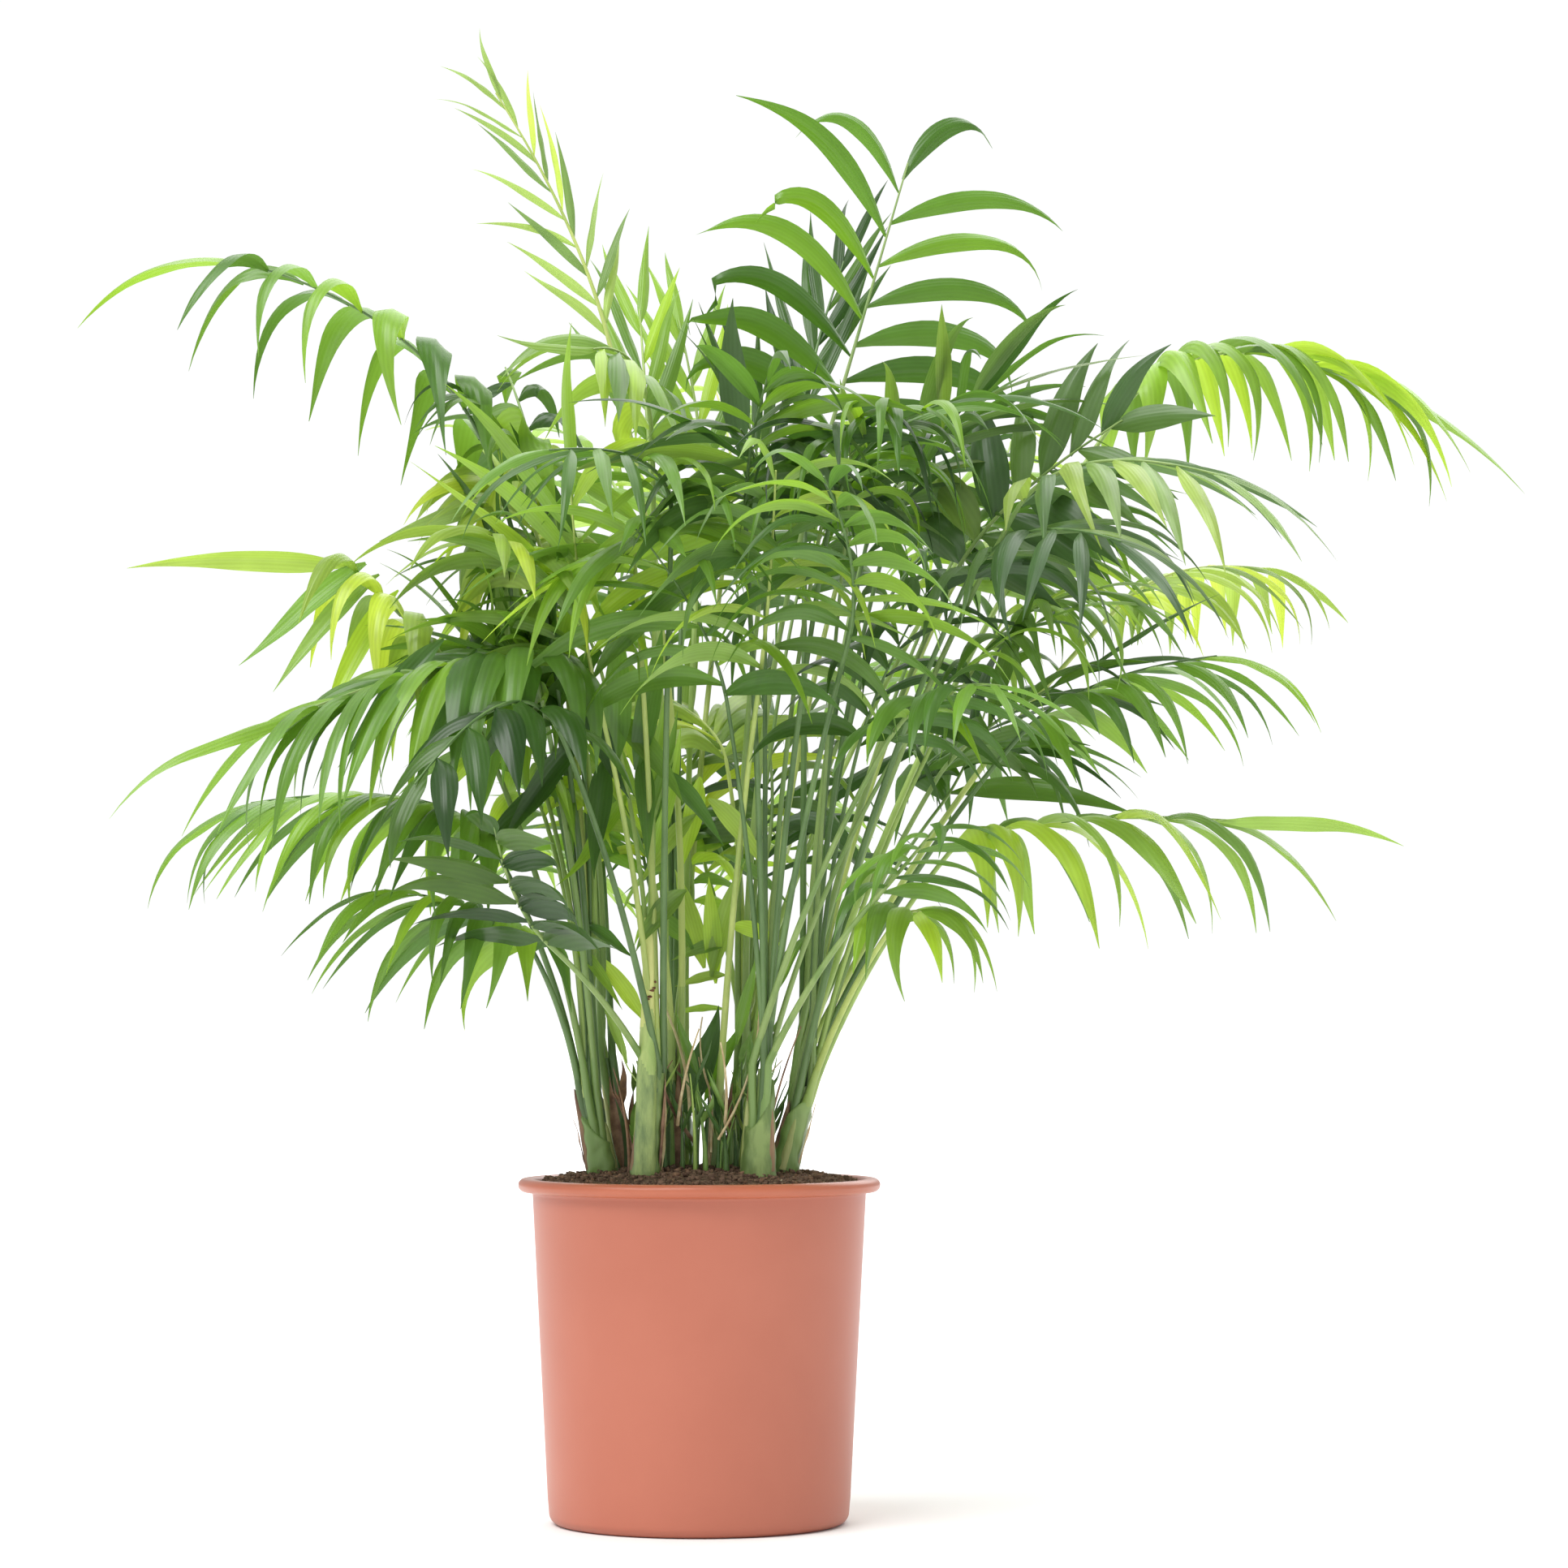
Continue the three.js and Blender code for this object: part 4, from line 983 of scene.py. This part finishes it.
def makeCutStalk():
    # a stalk that was cut off: a broad grey-green sheath at its foot, straw-yellow above, with a
    # torn scar half way up
    heap = newHeap()
    s = cutStalk
    heading, out, height = s["knee"]
    top = s["foot"] + compass(heading) * out + s["topShift"]
    top[2] = height + 2
    low = np.array([*canes[s["cane"]]["foot"], soil["top"] - 3]) + s["footShift"]
    share = np.linspace(0, 1, s["rows"])
    path = low + (top - low) * share[:, None] + s["bend"] * np.sin(math.pi * share)[:, None]
    radii = np.interp(share, *s["profile"])
    grid = tubeGrid(path, radii, s["sides"], flat=s["flat"], flute=s["flute"])
    wave = 0.035 * np.sin(np.arange(s["sides"]) * 0.45)
    zone = np.where(share[:-1, None] < s["green"] - wave, 3, 0)
    zone = np.where(share[:-1, None] < s["sheath"] + wave, 2, zone)
    heapGrid(heap, grid, zone, closed=True)
    heapFan(heap, grid[-1], flip=True)
    reach = radii[s["scarRow"]] * 0.96
    for k in range(s["scars"]):
        scar = path[s["scarRow"] + k // 2] + upward * (k - 2) * s["scarStep"]
        away = compass(-100 + 24 * k)
        side = np.array([away[1], -away[0], 0]) * 1.6
        edge = scar + away * reach
        curve = (edge - side, scar + away * (reach + 0.8), edge + side)
        heapCurve(heap, curve, [0.1, 0.5, 0.7, 0.6, 0.4, 0.1], 8, 1)
    pieceFrom(heap, "cutStalk", finishesOf(s["finishes"]), ["cut_stalk"])


makeCutStalk()

# Between the canes grow young shoots, dried threads and torn sheaths. The pairs of numbers are
# ranges. Each torn sheath: its cane, the way it faces, its width, its finish and its top as a
# share of the cane's height.
underGrowth = {
    "seed": 11, "shoots": 60, "shootHeight": (16, 62), "shootRadius": (0.9, 1.7),
    "leafLength": (14, 38), "leafWidth": (3, 6.5),
    "greenShares": [0.45, 0.25, 0.18, 0.12],  # the share of the shoots that each of the greens takes
    "threads": 14, "threadLength": (34, 84), "threadRadius": (0.45, 0.95), "brownThreads": 0.45,
    "sheaths": [
        ("front", -15, 5.5, 0, 1.0), ("front", -35, 3, 1, 0.95),
        ("left_back", -95, 6, 1, 0.8), ("left", -172, 2.6, 1, 0.7),
        ("middle", -70, 5, 1, 0.85), ("right", -30, 2.4, 0, 0.9),
        ("short", -120, 4, 0, 1.0), ("back", 100, 5, 1, 0.8),
        ("back_right", 60, 5, 0, 0.9), ("far_right", 20, 4, 1, 0.7),
        ("left_back", 140, 4, 0, 0.9),
    ],
    "greens": [
        ("shootGreen", (112, 150, 66), (134, 168, 84), 80, 1, 0.45),
        ("shootDeep", (64, 98, 44), (88, 120, 60), 80, 1, 0.45),
        ("shootPale", (164, 190, 96), (138, 168, 78), 80, 1, 0.45),
        ("shootBrown", (134, 100, 72), (96, 70, 54), 120, 1, 0.7),
    ],
    "browns": [
        ("driedCream", (214, 198, 156), (184, 160, 118), 110, 1, 0.7),
        ("driedBrown", (166, 132, 106), (118, 88, 70), 110, 1, 0.75),
    ],
}


def makeShoots(rng):
    u = underGrowth
    heap = newHeap()
    for k in range(u["shoots"]):
        foot = np.array([rng.uniform(-36, 38), rng.uniform(-34, 30), 0])
        foot[2] = soilHeight(*foot[:2]) - 2
        height = rng.uniform(*u["shootHeight"])
        lean = compass(rng.uniform(0, 360)) * height * rng.uniform(0.02, 0.3)
        curve = (foot, foot + upward * height * 0.55, foot + upward * height + lean)
        finish = int(rng.choice(len(u["greens"]), p=u["greenShares"]))
        radii = rng.uniform(*u["shootRadius"]) * np.linspace(1.1, 0.25, 9)
        heapCurve(heap, curve, radii, 7, finish)
        for leaf in range(int(rng.integers(0, 4))):
            start = curveAt(curve, rng.uniform(0.4, 0.95))
            way = unit(compass(rng.uniform(0, 360)) * rng.uniform(0.3, 0.9) + upward)
            length = rng.uniform(*u["leafLength"])
            tip = start + way * length + compass(rng.uniform(0, 360)) * 4
            width = rng.uniform(*u["leafWidth"])
            blade = (start, start + way * length * 0.5, tip)
            heapBlade(heap, blade, length, width, np.cross(way, upward), 1, k + leaf * 0.37, finish)
    pieceFrom(heap, "youngShoots", finishesOf(u["greens"]))


def makeDried(rng):
    u = underGrowth
    heap = newHeap()
    for k in range(u["threads"]):
        start = np.array([rng.uniform(-34, 36), rng.uniform(-36, 20), rng.uniform(186, 215)])
        length = rng.uniform(*u["threadLength"])
        way = unit(compass(rng.uniform(0, 360)) * rng.uniform(0.2, 0.7) + upward)
        bow = compass(rng.uniform(0, 360)) * length * rng.uniform(0.1, 0.3)
        curve = (start, start + way * length * 0.5 + bow, start + way * length)
        radii = rng.uniform(*u["threadRadius"]) * np.linspace(1.2, 0.5, 12)
        brown = int(rng.random() < u["brownThreads"])
        heapCurve(heap, curve, radii, 7, brown)
    for k, (name, facing, width, finish, top) in enumerate(u["sheaths"]):
        cane = canes[name]
        away = compass(facing)
        low = canePoint(cane, -0.05) + away * cane["radii"][0] * 0.99
        high = canePoint(cane, top) + away * (cane["radii"][1] + 2.5 * chance(k + 0.2))
        curve = (low, (low + high) / 2 + away * 0.8, high)
        across = np.array([-away[1], away[0], 0])
        heapBlade(heap, curve, np.linalg.norm(high - low), width, across, 1, k + 0.5, finish)
    pieceFrom(heap, "driedStrands", finishesOf(u["browns"]))


undergrowthRng = np.random.default_rng(underGrowth["seed"])
makeShoots(undergrowthRng)
makeDried(undergrowthRng)

studio = {
    "camera": (0.0444, -2.55, 0.280), "pitch": 2.4, "lens": 111.3, "sensor": 36.0,
    "floorSize": 60.0, "floorShade": 0.82, "backdrop": 1.02, "ambient": 0.75,
    # each sun: where it stands, its strength and its width in degrees
    "suns": {"keySun": ((-1.0, -0.9, 2.1), 3.4, 45), "backSun": ((0.4, 1.2, 1.3), 2.0, 60)},
}


def makeStudio():
    bpy.ops.mesh.primitive_plane_add(size=studio["floorSize"], location=(0, 0, 0))
    floor = bpy.context.object
    floor.name = "studioFloor"
    material, _, skin, _ = newMaterial("studioFloorWhite", roughness=0.9, specular=0.1)
    skin.inputs["Base Color"].default_value = (*[studio["floorShade"]] * 3, 1)
    floor.data.materials.append(material)
    scene = bpy.context.scene
    world = bpy.data.worlds.new("studioWorld")
    scene.world = world
    world.use_nodes = True
    sky = world.node_tree
    backdrop = sky.nodes["Background"]
    backdrop.inputs["Color"].default_value = (1, 1, 1, 1)
    rays = nodeIn(sky, "ShaderNodeLightPath", (-600, 0))
    strength = nodeIn(sky, "ShaderNodeMapRange", (-300, 0), {
        "To Min": studio["ambient"], "To Max": studio["backdrop"]})
    wire(sky, [(rays, "Is Camera Ray", strength, "Value"), (strength, 0, backdrop, "Strength")])
    for name, (place, power, width) in studio["suns"].items():
        data = bpy.data.lights.new(name, "SUN")
        data.energy = power
        data.angle = math.radians(width)
        lamp = bpy.data.objects.new(name, data)
        lamp.location = place
        lamp.rotation_euler = (-Vector(place)).to_track_quat("-Z", "Y").to_euler()
        scene.collection.objects.link(lamp)
    data = bpy.data.cameras.new("studioCamera")
    data.lens = studio["lens"]
    data.sensor_width = studio["sensor"]
    data.clip_end = 50
    camera = bpy.data.objects.new("studioCamera", data)
    camera.location = studio["camera"]
    camera.rotation_euler = (math.radians(90 + studio["pitch"]), 0, 0)
    scene.collection.objects.link(camera)
    scene.camera = camera
    scene.view_settings.view_transform = "Standard"
    scene.view_settings.look = "None"
    print("studio ready")


makeStudio()

bpy.context.view_layer.update()
